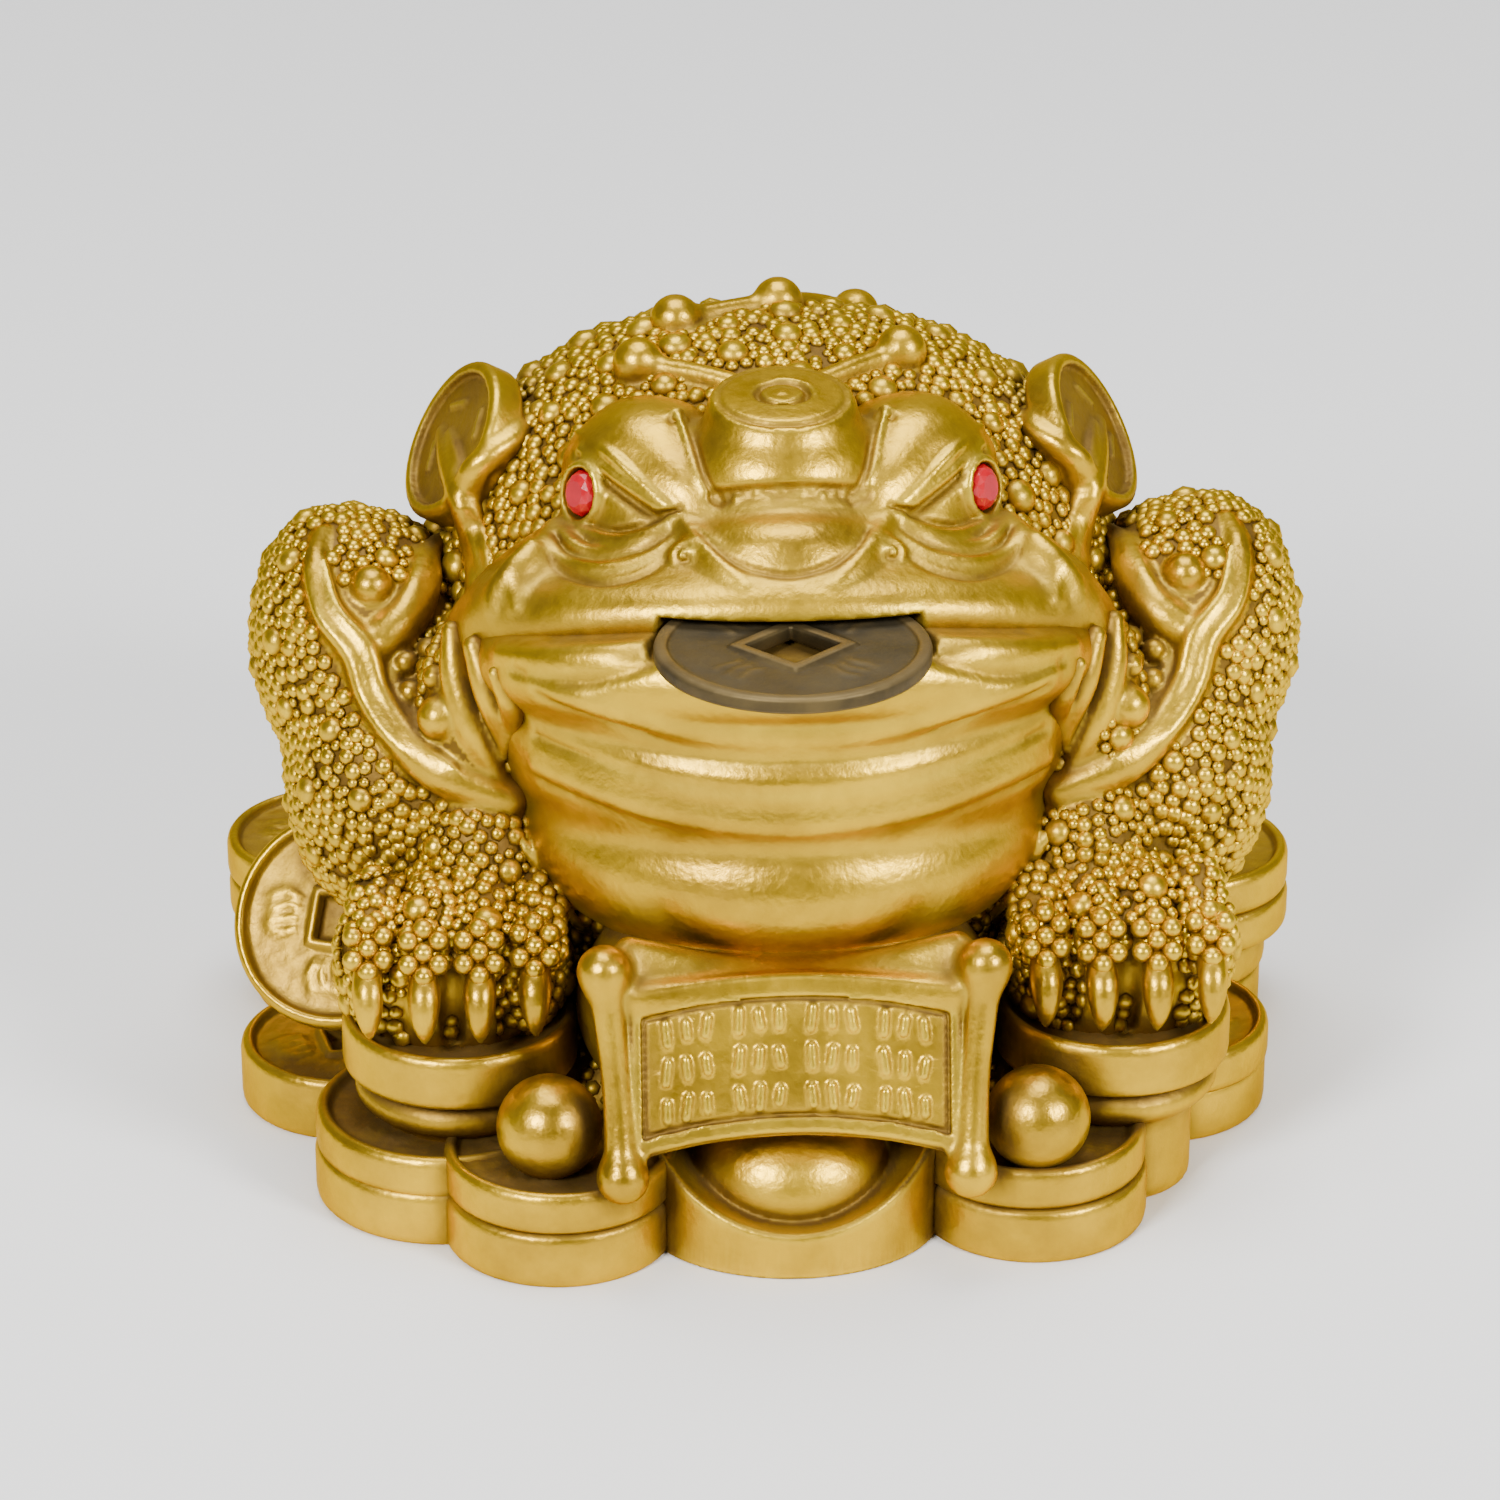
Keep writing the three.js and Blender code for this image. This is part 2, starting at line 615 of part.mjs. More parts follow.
// The loose coin, the same on both faces, with a corner of its hole to the front
function looseCoin() {
  const dish = solid(post(mouthCoinRadius - mouthCoinRim, 2 * mouthCoinThickness, looseCoinSides));
  const hole = solid(new THREE.BoxGeometry(mouthCoinHole, mouthCoinHole, 4 * mouthCoinThickness));
  return solid(post(mouthCoinRadius, mouthCoinThickness, looseCoinSides))
    .subtract(dish.translate(0, 0, mouthCoinThickness - mouthCoinRecess))
    .subtract(dish.translate(0, 0, mouthCoinRecess - 2 * mouthCoinThickness))
    .subtract(hole)
    .transform(placing(mouthCoinAt, [0, 0, 45]).elements);
}

const toad = new THREE.Group();
toad.add(named("toad_casting", casting(), materials.gold));
toad.add(named("mouth_coin", looseCoin(), materials.bronze));
toad.add(named("eye_gem_left", gemShape(-1, 0), materials.redGem));
toad.add(named("eye_gem_right", gemShape(1, 0), materials.redGem));

export default toad;
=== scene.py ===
"""The money toad, dressed: carved skin, warts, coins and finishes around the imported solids.

Sizes are in millimetres in the part's own frame, with the toad's front towards -Y and Z up.
They become metres when a mesh is made.
"""
import logging
import math
from dataclasses import dataclass, field
from enum import Enum
from typing import Callable, Iterable, Mapping, Protocol, Sequence

import bpy
import numpy as np
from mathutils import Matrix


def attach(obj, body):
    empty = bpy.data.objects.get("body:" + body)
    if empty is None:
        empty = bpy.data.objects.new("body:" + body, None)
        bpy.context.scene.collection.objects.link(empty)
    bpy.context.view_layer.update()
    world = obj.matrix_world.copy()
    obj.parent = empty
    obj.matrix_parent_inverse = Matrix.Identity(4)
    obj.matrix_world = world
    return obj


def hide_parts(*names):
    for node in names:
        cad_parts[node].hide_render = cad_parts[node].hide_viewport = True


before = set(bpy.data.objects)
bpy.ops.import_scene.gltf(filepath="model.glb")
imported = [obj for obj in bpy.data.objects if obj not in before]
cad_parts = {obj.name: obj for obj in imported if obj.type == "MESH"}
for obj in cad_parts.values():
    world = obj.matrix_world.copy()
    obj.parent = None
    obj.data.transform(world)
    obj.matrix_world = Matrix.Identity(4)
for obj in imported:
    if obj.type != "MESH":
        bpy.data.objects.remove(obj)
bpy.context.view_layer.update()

import openvdb
from mathutils import Euler, Vector

MM = 0.001
FAR = 30.0
HEAP_TOP = 9.1
HEAP_HALF = 41.0
SIDES = {-1: "right", 1: "left"}
FLANKS = tuple(SIDES)
PAW_AT = (29.5, -27.2)
EYE = np.array([-21.69, -474.6, 244.5])
BOARD = -36.0
AHEAD = 24.0

Point = Sequence[float]
Pair = tuple[float, float]
Colour = tuple[float, float, float, float]
Sockets = Mapping[str, bpy.types.NodeSocket]
log = logging.getLogger("money_toad")


def toad(point: Point) -> np.ndarray:
    """Places a point given from the top of the lower coins."""
    return np.array([point[0], point[1], point[2] + HEAP_TOP], float)


def turned(turn: Point) -> np.ndarray:
    """Gives the rotation about X, then Y, then Z, by angles in degrees."""
    return np.array(Euler([math.radians(a) for a in turn], "XYZ").to_matrix(), float)


def smooth_path(points: Sequence[Point], steps: int = 5) -> np.ndarray:
    """Draws a smooth curve through points.

    Args:
        points: the points, with any number of values each.
        steps: stretches between two points.

    Returns:
        The points of the curve, one row each.
    """
    given = np.array(points, float)
    if len(given) < 3:
        return given
    padded = np.vstack([2 * given[0] - given[1], given, 2 * given[-1] - given[-2]])
    rows = []
    for each in range(1, len(padded) - 2):
        a, b, c, d = padded[each - 1 : each + 3]
        for step in range(steps):
            t = step / steps
            rows.append(
                0.5 * (2 * b + (c - a) * t + (2 * a - 5 * b + 4 * c - d) * t**2
                       + (3 * b - a - 3 * c + d) * t**3)
            )
    rows.append(given[-1])
    return np.array(rows)


def inward(form: "Lump | Puck | Slab", x: np.ndarray, y: np.ndarray, z: np.ndarray) -> list[np.ndarray]:
    """Gives points in a form's own directions, from its middle.

    Args:
        form: a form with a middle and a turn.
        x: the points' places across.
        y: the points' places back.
        z: the points' places up.

    Returns:
        The points along each of its directions.
    """
    dx, dy, dz = x - form.at[0], y - form.at[1], z - form.at[2]
    basis = turned(form.turn)
    return [dx * basis[0, axis] + dy * basis[1, axis] + dz * basis[2, axis] for axis in range(3)]


class Form(Protocol):
    """A shape that clay takes on or loses."""

    def bounds(self) -> tuple[np.ndarray, np.ndarray]:
        """Returns the lowest and highest corner."""

    def distance(self, x: np.ndarray, y: np.ndarray, z: np.ndarray) -> np.ndarray:
        """Returns the signed distance at each point, negative inside."""


@dataclass
class Lump:
    """An egg shape, swollen towards a square across and up where it has a value for that."""

    at: Point
    radii: Point
    turn: Point = (0.0, 0.0, 0.0)
    square: float = 0.0

    def bounds(self) -> tuple[np.ndarray, np.ndarray]:
        """Returns the lowest and highest corner."""
        reach = np.sqrt(((turned(self.turn) * np.array(self.radii)) ** 2).sum(1))
        return np.array(self.at) - reach, np.array(self.at) + reach

    def distance(self, x: np.ndarray, y: np.ndarray, z: np.ndarray) -> np.ndarray:
        """Returns the signed distance at each point, negative inside.

        Args:
            x: the places across.
            y: the places back.
            z: the places up.

        Returns:
            The distances.
        """
        near, far, corner, swell = 0.0, 0.0, 1.0, 1.0
        for axis, (along, radius) in enumerate(zip(inward(self, x, y, z), self.radii)):
            near = near + (along / radius) ** 2
            far = far + (along / radius**2) ** 2
            if axis != 1:
                corner = corner * along / radius
        if self.square:
            swell = 1 + self.square * (corner / np.maximum(near, 1e-6)) ** 2
        near = np.sqrt(near) / swell
        return near * (near - 1) * swell**2 / np.maximum(np.sqrt(far), 1e-6)


@dataclass
class Strand:
    """A round strand of changing thickness along a curve."""

    points: Sequence[Point]
    radii: Sequence[float]

    def _rows(self) -> np.ndarray:
        """Returns the curve's points with their radius.

        Returns:
            The points, one row each, with the radius last.
        """
        radii = list(self.radii)
        if len(radii) != len(self.points):
            ends = np.linspace(0, 1, len(radii))
            radii = list(np.interp(np.linspace(0, 1, len(self.points)), ends, radii))
        rows = [[*point, radius] for point, radius in zip(self.points, radii)]
        return smooth_path(rows)

    def bounds(self) -> tuple[np.ndarray, np.ndarray]:
        """Returns the lowest and highest corner.

        Returns:
            The two corners.
        """
        rows = self._rows()
        reach = rows[:, 3:].max()
        return rows[:, :3].min(0) - reach, rows[:, :3].max(0) + reach

    def distance(self, x: np.ndarray, y: np.ndarray, z: np.ndarray) -> np.ndarray:
        """Returns the signed distance at each point, negative inside.

        Args:
            x: the places across.
            y: the places back.
            z: the places up.

        Returns:
            The distances.
        """
        rows = self._rows()
        best = None
        for a, b in zip(rows[:-1], rows[1:]):
            way = b[:3] - a[:3]
            px, py, pz = x - a[0], y - a[1], z - a[2]
            share = (px * way[0] + py * way[1] + pz * way[2]) / max(way @ way, 1e-9)
            share = np.clip(share, 0, 1)
            gap = np.sqrt((px - way[0] * share) ** 2 + (py - way[1] * share) ** 2
                          + (pz - way[2] * share) ** 2) - (a[3] + (b[3] - a[3]) * share)
            best = gap if best is None else np.minimum(best, gap)
        return best


@dataclass
class Puck:
    """A flat round piece with a rounded edge, oval where its second radius differs."""

    at: Point
    radius: float
    half_height: float
    turn: Point = (0.0, 0.0, 0.0)
    edge: float = 0.5
    stretch: float = 1.0

    def bounds(self) -> tuple[np.ndarray, np.ndarray]:
        """Returns the lowest and highest corner.

        Returns:
            The two corners.
        """
        basis = np.abs(turned(self.turn))
        reach = basis @ np.array([self.radius, self.radius * self.stretch, self.half_height])
        return np.array(self.at) - reach, np.array(self.at) + reach

    def distance(self, x: np.ndarray, y: np.ndarray, z: np.ndarray) -> np.ndarray:
        """Returns the signed distance at each point, negative inside.

        Args:
            x: the places across.
            y: the places back.
            z: the places up.

        Returns:
            The distances.
        """
        a, b, c = inward(self, x, y, z)
        out = np.sqrt(a**2 + (b / self.stretch) ** 2) - (self.radius - self.edge)
        up = np.abs(c) - (self.half_height - self.edge)
        both = np.sqrt(np.maximum(out, 0) ** 2 + np.maximum(up, 0) ** 2)
        return both + np.minimum(np.maximum(out, up), 0) - self.edge


@dataclass
class Slab:
    """A box with rounded edges, bent upwards round an arch where it has one."""

    at: Point
    halves: Point
    turn: Point = (0.0, 0.0, 0.0)
    edge: float = 0.2
    arch: float = 0.0
    rise: float = 0.0

    def bounds(self) -> tuple[np.ndarray, np.ndarray]:
        """Returns the lowest and highest corner.

        Returns:
            The two corners.
        """
        basis = turned(self.turn)
        middle = np.array(self.at) + basis @ np.array([0, 0, self.rise])
        sag = self.halves[0] ** 2 / (2 * self.arch) if self.arch else 0.0
        reach = np.abs(basis) @ (np.array(self.halves) + np.array([0, 0, 2 * sag]))
        return middle - reach, middle + reach

    def distance(self, x: np.ndarray, y: np.ndarray, z: np.ndarray) -> np.ndarray:
        """Returns the signed distance at each point, negative inside.

        Args:
            x: the places across.
            y: the places back.
            z: the places up.

        Returns:
            The distances.
        """
        a, b, c = inward(self, x, y, z)
        if self.arch:
            c = np.sqrt(a**2 + (c + self.arch) ** 2) - self.arch
        c = c - self.rise
        gaps = [np.abs(v) - (half - self.edge) for v, half in zip((a, b, c), self.halves)]
        outside = np.sqrt(sum(np.maximum(gap, 0) ** 2 for gap in gaps))
        inside = np.minimum(np.maximum(np.maximum(gaps[0], gaps[1]), gaps[2]), 0)
        return outside + inside - self.edge


def soft_min(a: np.ndarray, b: np.ndarray, blend: float) -> np.ndarray:
    """Joins two distances, with a fillet as wide as blend.

    Args:
        a: the first distance.
        b: the second.
        blend: the fillet's width.

    Returns:
        The joined distance.
    """
    if blend <= 0:
        return np.minimum(a, b)
    near = np.maximum(blend - np.abs(a - b), 0) / blend
    return np.minimum(a, b) - near * near * blend / 4


class Clay:
    """Modelling clay on a regular grid: the signed distance to its skin at every point."""

    def __init__(self, low: Point, high: Point, step: float, reach: float = 1.6) -> None:
        """Makes an empty block.

        Args:
            low: lowest corner.
            high: highest corner.
            step: distance between grid points.
            reach: how far from a form its distance is still kept.
        """
        self.low = np.array(low, float)
        self.step = step
        self.reach = max(reach, 3 * step)
        counts = [int(math.ceil((b - a) / step)) + 1 for a, b in zip(low, high)]
        self.field = np.full(counts, FAR, np.float32)

    def _window(self, form: Form, margin: float) -> tuple[tuple[slice, ...], list[np.ndarray]] | None:
        """Finds the part of the grid that a form can change.

        Args:
            form: the form.
            margin: how far round it.

        Returns:
            The slices and the coordinates of that part, or None outside the block.
        """
        low, high = form.bounds()
        first = np.floor((low - margin - self.low) / self.step).astype(int)
        last = np.ceil((high + margin - self.low) / self.step).astype(int) + 1
        first, last = (np.clip(ends, 0, self.field.shape) for ends in (first, last))
        if np.any(last <= first):
            return None
        axes = [
            (low + self.step * np.arange(start, stop)).astype(np.float32)
            for low, start, stop in zip(self.low, first, last)
        ]
        part = tuple(slice(a, b) for a, b in zip(first, last))
        return part, list(np.meshgrid(*axes, indexing="ij", sparse=True))

    def add(self, form: Form, blend: float = 0.8) -> None:
        """Presses a form on, with a fillet as wide as blend.

        Args:
            form: the form.
            blend: the fillet's width.
        """
        window = self._window(form, blend + self.reach)
        if window:
            part, places = window
            self.field[part] = soft_min(self.field[part], form.distance(*places), blend)

    def cut(self, form: Form, blend: float = 0.3) -> None:
        """Carves a form away, with edges rounded as wide as blend.

        Args:
            form: the form.
            blend: how wide the edges are rounded.
        """
        window = self._window(form, blend + self.reach)
        if window:
            part, places = window
            self.field[part] = -soft_min(-self.field[part], form.distance(*places), blend)

    def sample(self, points: np.ndarray) -> np.ndarray:
        """Reads the distance at any points, one row each.

        Args:
            points: the points, one row each.

        Returns:
            The distances.
        """
        place = (np.asarray(points, float) - self.low) / self.step
        place = np.clip(place, 0, np.array(self.field.shape) - 1.001)
        base = place.astype(int)
        part = place - base
        total = np.zeros(len(place))
        for corner in range(8):
            shift = np.array([corner & 1, (corner >> 1) & 1, corner >> 2])
            weight = np.prod(np.where(shift, part, 1 - part), 1)
            index = base + shift
            total += weight * self.field[index[:, 0], index[:, 1], index[:, 2]]
        return total

    def slope(self, points: np.ndarray, span: float) -> np.ndarray:
        """Returns the way out of the clay at each point, as unit vectors.

        Args:
            points: the points, one row each.
            span: how far to each side the clay is compared.

        Returns:
            The unit vectors.
        """
        ways = np.empty_like(points)
        for axis in range(3):
            shift = np.zeros(3)
            shift[axis] = span
            ways[:, axis] = self.sample(points + shift) - self.sample(points - shift)
        return ways / np.maximum(np.linalg.norm(ways, axis=1, keepdims=True), 1e-9)

    def hit(self, start: Point, way: Point, reach: float = 90.0) -> np.ndarray:
        """Finds where a straight line first meets the clay, or comes nearest to it.

        Args:
            start: where the line starts.
            way: its direction.
            reach: how far it goes.

        Returns:
            The point on the skin.
        """
        along = np.arange(0, reach, 0.4 * self.step)
        unit = np.array(way, float) / np.linalg.norm(way)
        points = np.array(start, float) + along[:, None] * unit
        inside = (points >= self.low).all(1)
        inside &= (points <= self.low + self.step * (np.array(self.field.shape) - 1)).all(1)
        gaps = np.where(inside, self.sample(points), FAR)
        met = np.nonzero(gaps < 0)[0]
        return points[met[0] if len(met) else int(np.argmin(gaps))]

    def seen(self, across: float, up: float, sink: float = 0.0, flank: int = -1) -> np.ndarray:
        """Finds the skin behind a point of the upright board just ahead of the toad.

        Args:
            across: place on the board, across.
            up: place on the board, up.
            sink: how deep under the skin.
            flank: 1 to look from the mirrored side at the mirrored place.

        Returns:
            The point.
        """
        side = np.array([-flank, 1, 1])
        eye, board = EYE * side, np.array([across, BOARD, up]) * side
        way = (board - eye) / np.linalg.norm(board - eye)
        return self.hit(board - AHEAD * way, way) + sink * way

    def draw(self, places: Sequence[Pair], radii: Sequence[float], sink: float = 0.0,
             flank: int = -1) -> Strand:
        """Lays a strand on the skin, along places read on the board."""
        return Strand([self.seen(*place, sink, flank) for place in places], radii)

    def twins(self, places: Sequence[Pair], radii: Sequence[float], sink: float = 0.0) -> list[Strand]:
        """Lays a strand on the toad's right and its mirror image on the left."""
        right = self.draw(places, radii, sink)
        return [right, Strand([point * (-1, 1, 1) for point in right.points], radii)]

    def knobs(self, place: Pair, radii: Point, sink: float = 0.0) -> list[Lump]:
        """Sets a lump on the toad's right and its mirror image on the left."""
        right = self.seen(*place, sink)
        return [Lump(right, radii), Lump(right * (-1, 1, 1), radii)]

    def add_all(self, forms: Iterable[Form], blend: float = 0.8) -> None:
        """Presses on several forms."""
        for form in forms:
            self.add(form, blend)

    def cut_all(self, forms: Iterable[Form], blend: float = 0.3) -> None:
        """Carves several forms away."""
        for form in forms:
            self.cut(form, blend)


def flank_block(flank: int, inner: Point, outer: Point, step: float) -> Clay:
    """Makes an empty block on one flank, between two corners given for the toad's left.

    Args:
        flank: -1 for the toad's right, 1 for its left.
        inner: the low corner, nearest the middle.
        outer: the high corner, farthest out.
        step: the block's step.

    Returns:
        The block.
    """
    if flank > 0:
        return Clay(inner, outer, step)
    return Clay((-outer[0], inner[1], inner[2]), (-inner[0], outer[1], outer[2]), step)


def surface(clay: Clay) -> tuple[np.ndarray, np.ndarray]:
    """Takes the surface off a block of clay.

    Args:
        clay: the block.

    Returns:
        Its points in millimetres, drawn onto the true skin, and its faces.
    """
    band = 3 * clay.step
    grid = openvdb.FloatGrid(band)
    grid.copyFromArray(np.clip(clay.field, -band, band))
    points, quads = grid.convertToQuads(0.0)
    points = np.array(points, float) * clay.step + clay.low
    faces = np.array(quads, int)
    for _ in range(2):
        ways = clay.slope(points, 0.6 * clay.step)
        off = np.clip(clay.sample(points), -0.4 * clay.step, 0.4 * clay.step)
        points = points - ways * off[:, None]
    a, b, c, d = (points[faces[:, i]] for i in range(4))
    across = np.cross(c - a, d - b)
    if (across * ways[faces].mean(1)).sum() < 0:
        faces = faces[:, ::-1]
    return points, faces


def mesh_of(name: str, points: np.ndarray, faces: Sequence[Sequence[int]]) -> bpy.types.Object:
    """Makes a smooth-shaded object at the origin.

    Args:
        name: its name.
        points: its corners, in millimetres.
        faces: corners of each face, as an array of quads or a list.

    Returns:
        The object, linked to the scene.
    """
    mesh = bpy.data.meshes.new(name)
    if isinstance(faces, np.ndarray):
        mesh.vertices.add(len(points))
        mesh.vertices.foreach_set("co", (points * MM).astype(np.float32).ravel())
        sides = faces.shape[1]
        mesh.loops.add(faces.size)
        mesh.polygons.add(len(faces))
        mesh.loops.foreach_set("vertex_index", faces.astype(np.int32).ravel())
        mesh.polygons.foreach_set("loop_start", np.arange(0, faces.size, sides, dtype=np.int32))
        mesh.update(calc_edges=True)
        mesh.validate()
    else:
        mesh.from_pydata((points * MM).tolist(), [], [list(face) for face in faces])
    mesh.shade_smooth()
    piece = bpy.data.objects.new(name, mesh)
    bpy.context.scene.collection.objects.link(piece)
    return piece


def plain_mesh(piece: bpy.types.Object, modifier: bpy.types.Modifier) -> bpy.types.Mesh:
    """Keeps what a modifier makes of a piece as a plain mesh, and removes the modifier.

    Args:
        piece: the piece.
        modifier: its modifier.

    Returns:
        The mesh.
    """
    seen = piece.evaluated_get(bpy.context.evaluated_depsgraph_get())
    mesh = bpy.data.meshes.new_from_object(seen)
    piece.modifiers.remove(modifier)
    return mesh


def thin_out(piece: bpy.types.Object, keep: float) -> None:
    """Merges a skin's faces, the flattest first, down to a share of them.

    Args:
        piece: the skin.
        keep: the share of its faces that stays.
    """
    modifier = piece.modifiers.new("thin", "DECIMATE")
    modifier.ratio = keep
    full = piece.data
    piece.data = plain_mesh(piece, modifier)
    bpy.data.meshes.remove(full)
    piece.data.name = piece.name


def set_values(piece: bpy.types.Object, name: str, values: np.ndarray) -> None:
    """Keeps one value per corner of a piece under a name."""
    kept = piece.data.attributes.get(name) or piece.data.attributes.new(name, "FLOAT", "POINT")
    kept.data.foreach_set("value", np.asarray(values, np.float32))


def get_values(piece: bpy.types.Object, name: str) -> np.ndarray:
    """Reads one value per corner of a piece, zero where it has none.

    Args:
        piece: the piece.
        name: the name.

    Returns:
        The values.
    """
    values = np.zeros(len(piece.data.vertices), np.float32)
    kept = piece.data.attributes.get(name)
    if kept:
        kept.data.foreach_get("value", values)
    return values


def corners(piece: bpy.types.Object) -> tuple[np.ndarray, np.ndarray]:
    """Returns a piece's corners in millimetres and their normals.

    Args:
        piece: the piece.

    Returns:
        The corners and the normals, one row each.
    """
    places = np.zeros(3 * len(piece.data.vertices), np.float32)
    ways = np.zeros_like(places)
    piece.data.vertices.foreach_get("co", places)
    piece.data.vertices.foreach_get("normal", ways)
    return places.reshape(-1, 3) / MM, ways.reshape(-1, 3)


class Shade:
    """How hidden or how thin a place is, which decides where painted shade with a dark wash, and bright
    wear with painted highlight, lie.
    """

    def __init__(self) -> None:
        """Makes the coarse blocks that hold every form of the figure, and its back and limbs alone."""
        self.whole, self.limbs = (Clay((-60, -58, -4), (60, 58, 84), 0.9, reach=5.0) for _ in range(2))

    @staticmethod
    def closed(clay: Clay, points: np.ndarray, ways: np.ndarray, spans: Sequence[float]) -> np.ndarray:
        """Measures how much clay stands round each point.

        Args:
            clay: the block that is read.
            points: places on its skin.
            ways: the way out at each.
            spans: how far out to look.

        Returns:
            A value from 0, open, to 1, closed in.
        """
        total = np.zeros(len(points))
        for span in spans:
            gap = np.clip(clay.sample(points + ways * span), 0, span)
            total += (span - gap) / span / len(spans)
        return total

    def paint(self, piece: bpy.types.Object, clay: Clay | None = None) -> None:
        """Gives a piece its values of painted shade with wash, and of wear with painted highlight.

        Args:
            piece: the piece.
            clay: its own fine block, where it has one.
        """
        points, ways = corners(piece)
        # Painted shade: places closed in by the whole figure, and by their own block at a finer scale, are
        # painted darker.
        wash = 1.3 * self.closed(self.whole, points, ways, (2.0, 4.5)) - 0.1
        wear = np.zeros(len(points))
        if clay is not None:
            wash = wash + 1.5 * self.closed(clay, points, ways, (0.5, 1.1))
            # Thin ridges and edges are painted brighter, as rubbed wear and as painted highlight.
            thin = np.clip(-clay.sample(points - ways * 0.7), 0, 0.7)
            wear = np.clip((0.7 - thin) / 0.7 - 0.05, 0, 1)
        own = get_values(piece, "wash")
        set_values(piece, "wash", np.clip(np.maximum(wash, 0) + own, 0, 1))
        set_values(piece, "wear", np.clip(wear + get_values(piece, "wear"), 0, 1))


class Graph:
    """A node tree with short calls for adding and joining nodes."""

    def __init__(self, tree: bpy.types.NodeTree) -> None:
        """Takes a node tree and empties it."""
        self.tree = tree
        tree.nodes.clear()

    def add(self, kind: str, inputs: dict | None = None, **settings: object) -> bpy.types.Node:
        """Adds a node.

        Args:
            kind: its type name.
            inputs: values or output sockets, by the input's name or number.
            settings: its own settings.

        Returns:
            The node.
        """
        node = self.tree.nodes.new(kind)
        for name, value in settings.items():
            setattr(node, name, value)
        for name, value in (inputs or {}).items():
            if isinstance(value, bpy.types.NodeSocket):
                self.tree.links.new(value, node.inputs[name])
            else:
                node.inputs[name].default_value = value
        return node

    def math(self, operation: str, a: object, b: object = 0.0, clamp: bool = False) -> bpy.types.NodeSocket:
        """Adds a sum and returns its output."""
        node = self.add("ShaderNodeMath", {0: a, 1: b}, operation=operation, use_clamp=clamp)
        return node.outputs[0]

    def blend(self, share: object, a: object, b: object) -> bpy.types.NodeSocket:
        """Mixes two colours and returns the output."""
        node = self.add("ShaderNodeMix", {0: share, 6: a, 7: b}, data_type="RGBA")
        return node.outputs[2]

    def cloud(self, scale: object, detail: float, roughness: float = 0.5) -> bpy.types.NodeSocket:
        """Adds a noise on the object's own coordinates and returns its output.

        Args:
            scale: its scale, a value or an output.
            detail: how many finer layers it has.
            roughness: how strong they are.

        Returns:
            The output.
        """
        place = self.add("ShaderNodeTexCoord").outputs["Object"]
        inputs = {"Vector": place, "Scale": scale, "Detail": detail, "Roughness": roughness}
        return self.add("ShaderNodeTexNoise", inputs).outputs[0]

    def wire(self, node: bpy.types.Node, sockets: Sockets) -> None:
        """Links outputs to a node's inputs, by the inputs' names."""
        for name, socket in sockets.items():
            self.tree.links.new(socket, node.inputs[name])


class Group(Enum):
    """The shader groups that the finishes share."""

    GRAIN = "cast_grain"
    # Painted crevice shade with dark wash.
    WASH = "crevice_wash"
    # Edges painted bright: rubbed wear and painted highlight.
    WEAR = "rubbed_edges"
    DUST = "settled_dust"


def group_tree(kind: Group, takes: dict[str, float], gives: str,
               build: Callable[[Graph, Sockets], bpy.types.NodeSocket]) -> bpy.types.NodeTree:
    """Builds a shader group with named sockets.

    Args:
        kind: which group.
        takes: its inputs and their usual values.
        gives: its output.
        build: adds its nodes from its inputs, and returns the socket that is put out.

    Returns:
        The group's tree.
    """
    tree = bpy.data.node_groups.new(kind.value, "ShaderNodeTree")
    for name, value in takes.items():
        socket = tree.interface.new_socket(name, in_out="INPUT", socket_type="NodeSocketFloat")
        socket.default_value = value
    tree.interface.new_socket(gives, in_out="OUTPUT", socket_type="NodeSocketFloat")
    graph = Graph(tree)
    given = graph.add("NodeGroupInput").outputs
    graph.wire(graph.add("NodeGroupOutput"), {gives: build(graph, given)})
    return tree


def grain(graph: Graph, given: Sockets) -> bpy.types.NodeSocket:
    """Gives the fine grain of a casting, with broader lumps in it.

    Args:
        graph: the group's graph.
        given: the group's inputs.

    Returns:
        The output for the height.
    """
    fine = graph.cloud(given["Scale"], 3.0)
    lumps = graph.cloud(graph.math("MULTIPLY", given["Scale"], 0.18), 2.0)
    return graph.math("ADD", fine, graph.math("MULTIPLY", lumps, given["Lumps"]))


def crevice_wash(graph: Graph, given: Sockets) -> bpy.types.NodeSocket:
    """Gives where painted crevice shade with dark wash lies, with ragged borders.

    Args:
        graph: the group's graph.
        given: the group's inputs.

    Returns:
        The output for the mask.
    """
    wash = graph.add("ShaderNodeAttribute", attribute_name="wash").outputs["Fac"]
    noise = graph.cloud(given["Scale"], 4.0)
    ragged = graph.math("MULTIPLY", graph.math("SUBTRACT", noise, 0.5), given["Ragged"])
    strong = graph.math("MULTIPLY", wash, given["Strength"])
    return graph.math("ADD", strong, graph.math("MULTIPLY", ragged, wash), clamp=True)


def rubbed_edges(graph: Graph, given: Sockets) -> bpy.types.NodeSocket:
    """Gives where edges are painted bright, as rubbed wear and painted highlight, in patches.

    Args:
        graph: the group's graph.
        given: the group's inputs.

    Returns:
        The output for the mask.
    """
    wear = graph.add("ShaderNodeAttribute", attribute_name="wear").outputs["Fac"]
    patch = graph.math("MULTIPLY", wear, graph.math("ADD", graph.cloud(given["Scale"], 3.0), 0.35))
    return graph.math("MULTIPLY", patch, given["Strength"], clamp=True)


def settled_dust(graph: Graph, given: Sockets) -> bpy.types.NodeSocket:
    """Gives where dust lies on what faces up.

    Args:
        graph: the group's graph.
        given: the group's inputs.

    Returns:
        The output for the mask.
    """
    facing = graph.add("ShaderNodeNewGeometry").outputs["Normal"]
    up = graph.add("ShaderNodeSeparateXYZ", {0: facing}).outputs["Z"]
    level = graph.math("MULTIPLY", graph.math("MAXIMUM", up, 0.0), graph.cloud(given["Scale"], 5.0))
    return graph.math("MULTIPLY", level, given["Strength"], clamp=True)


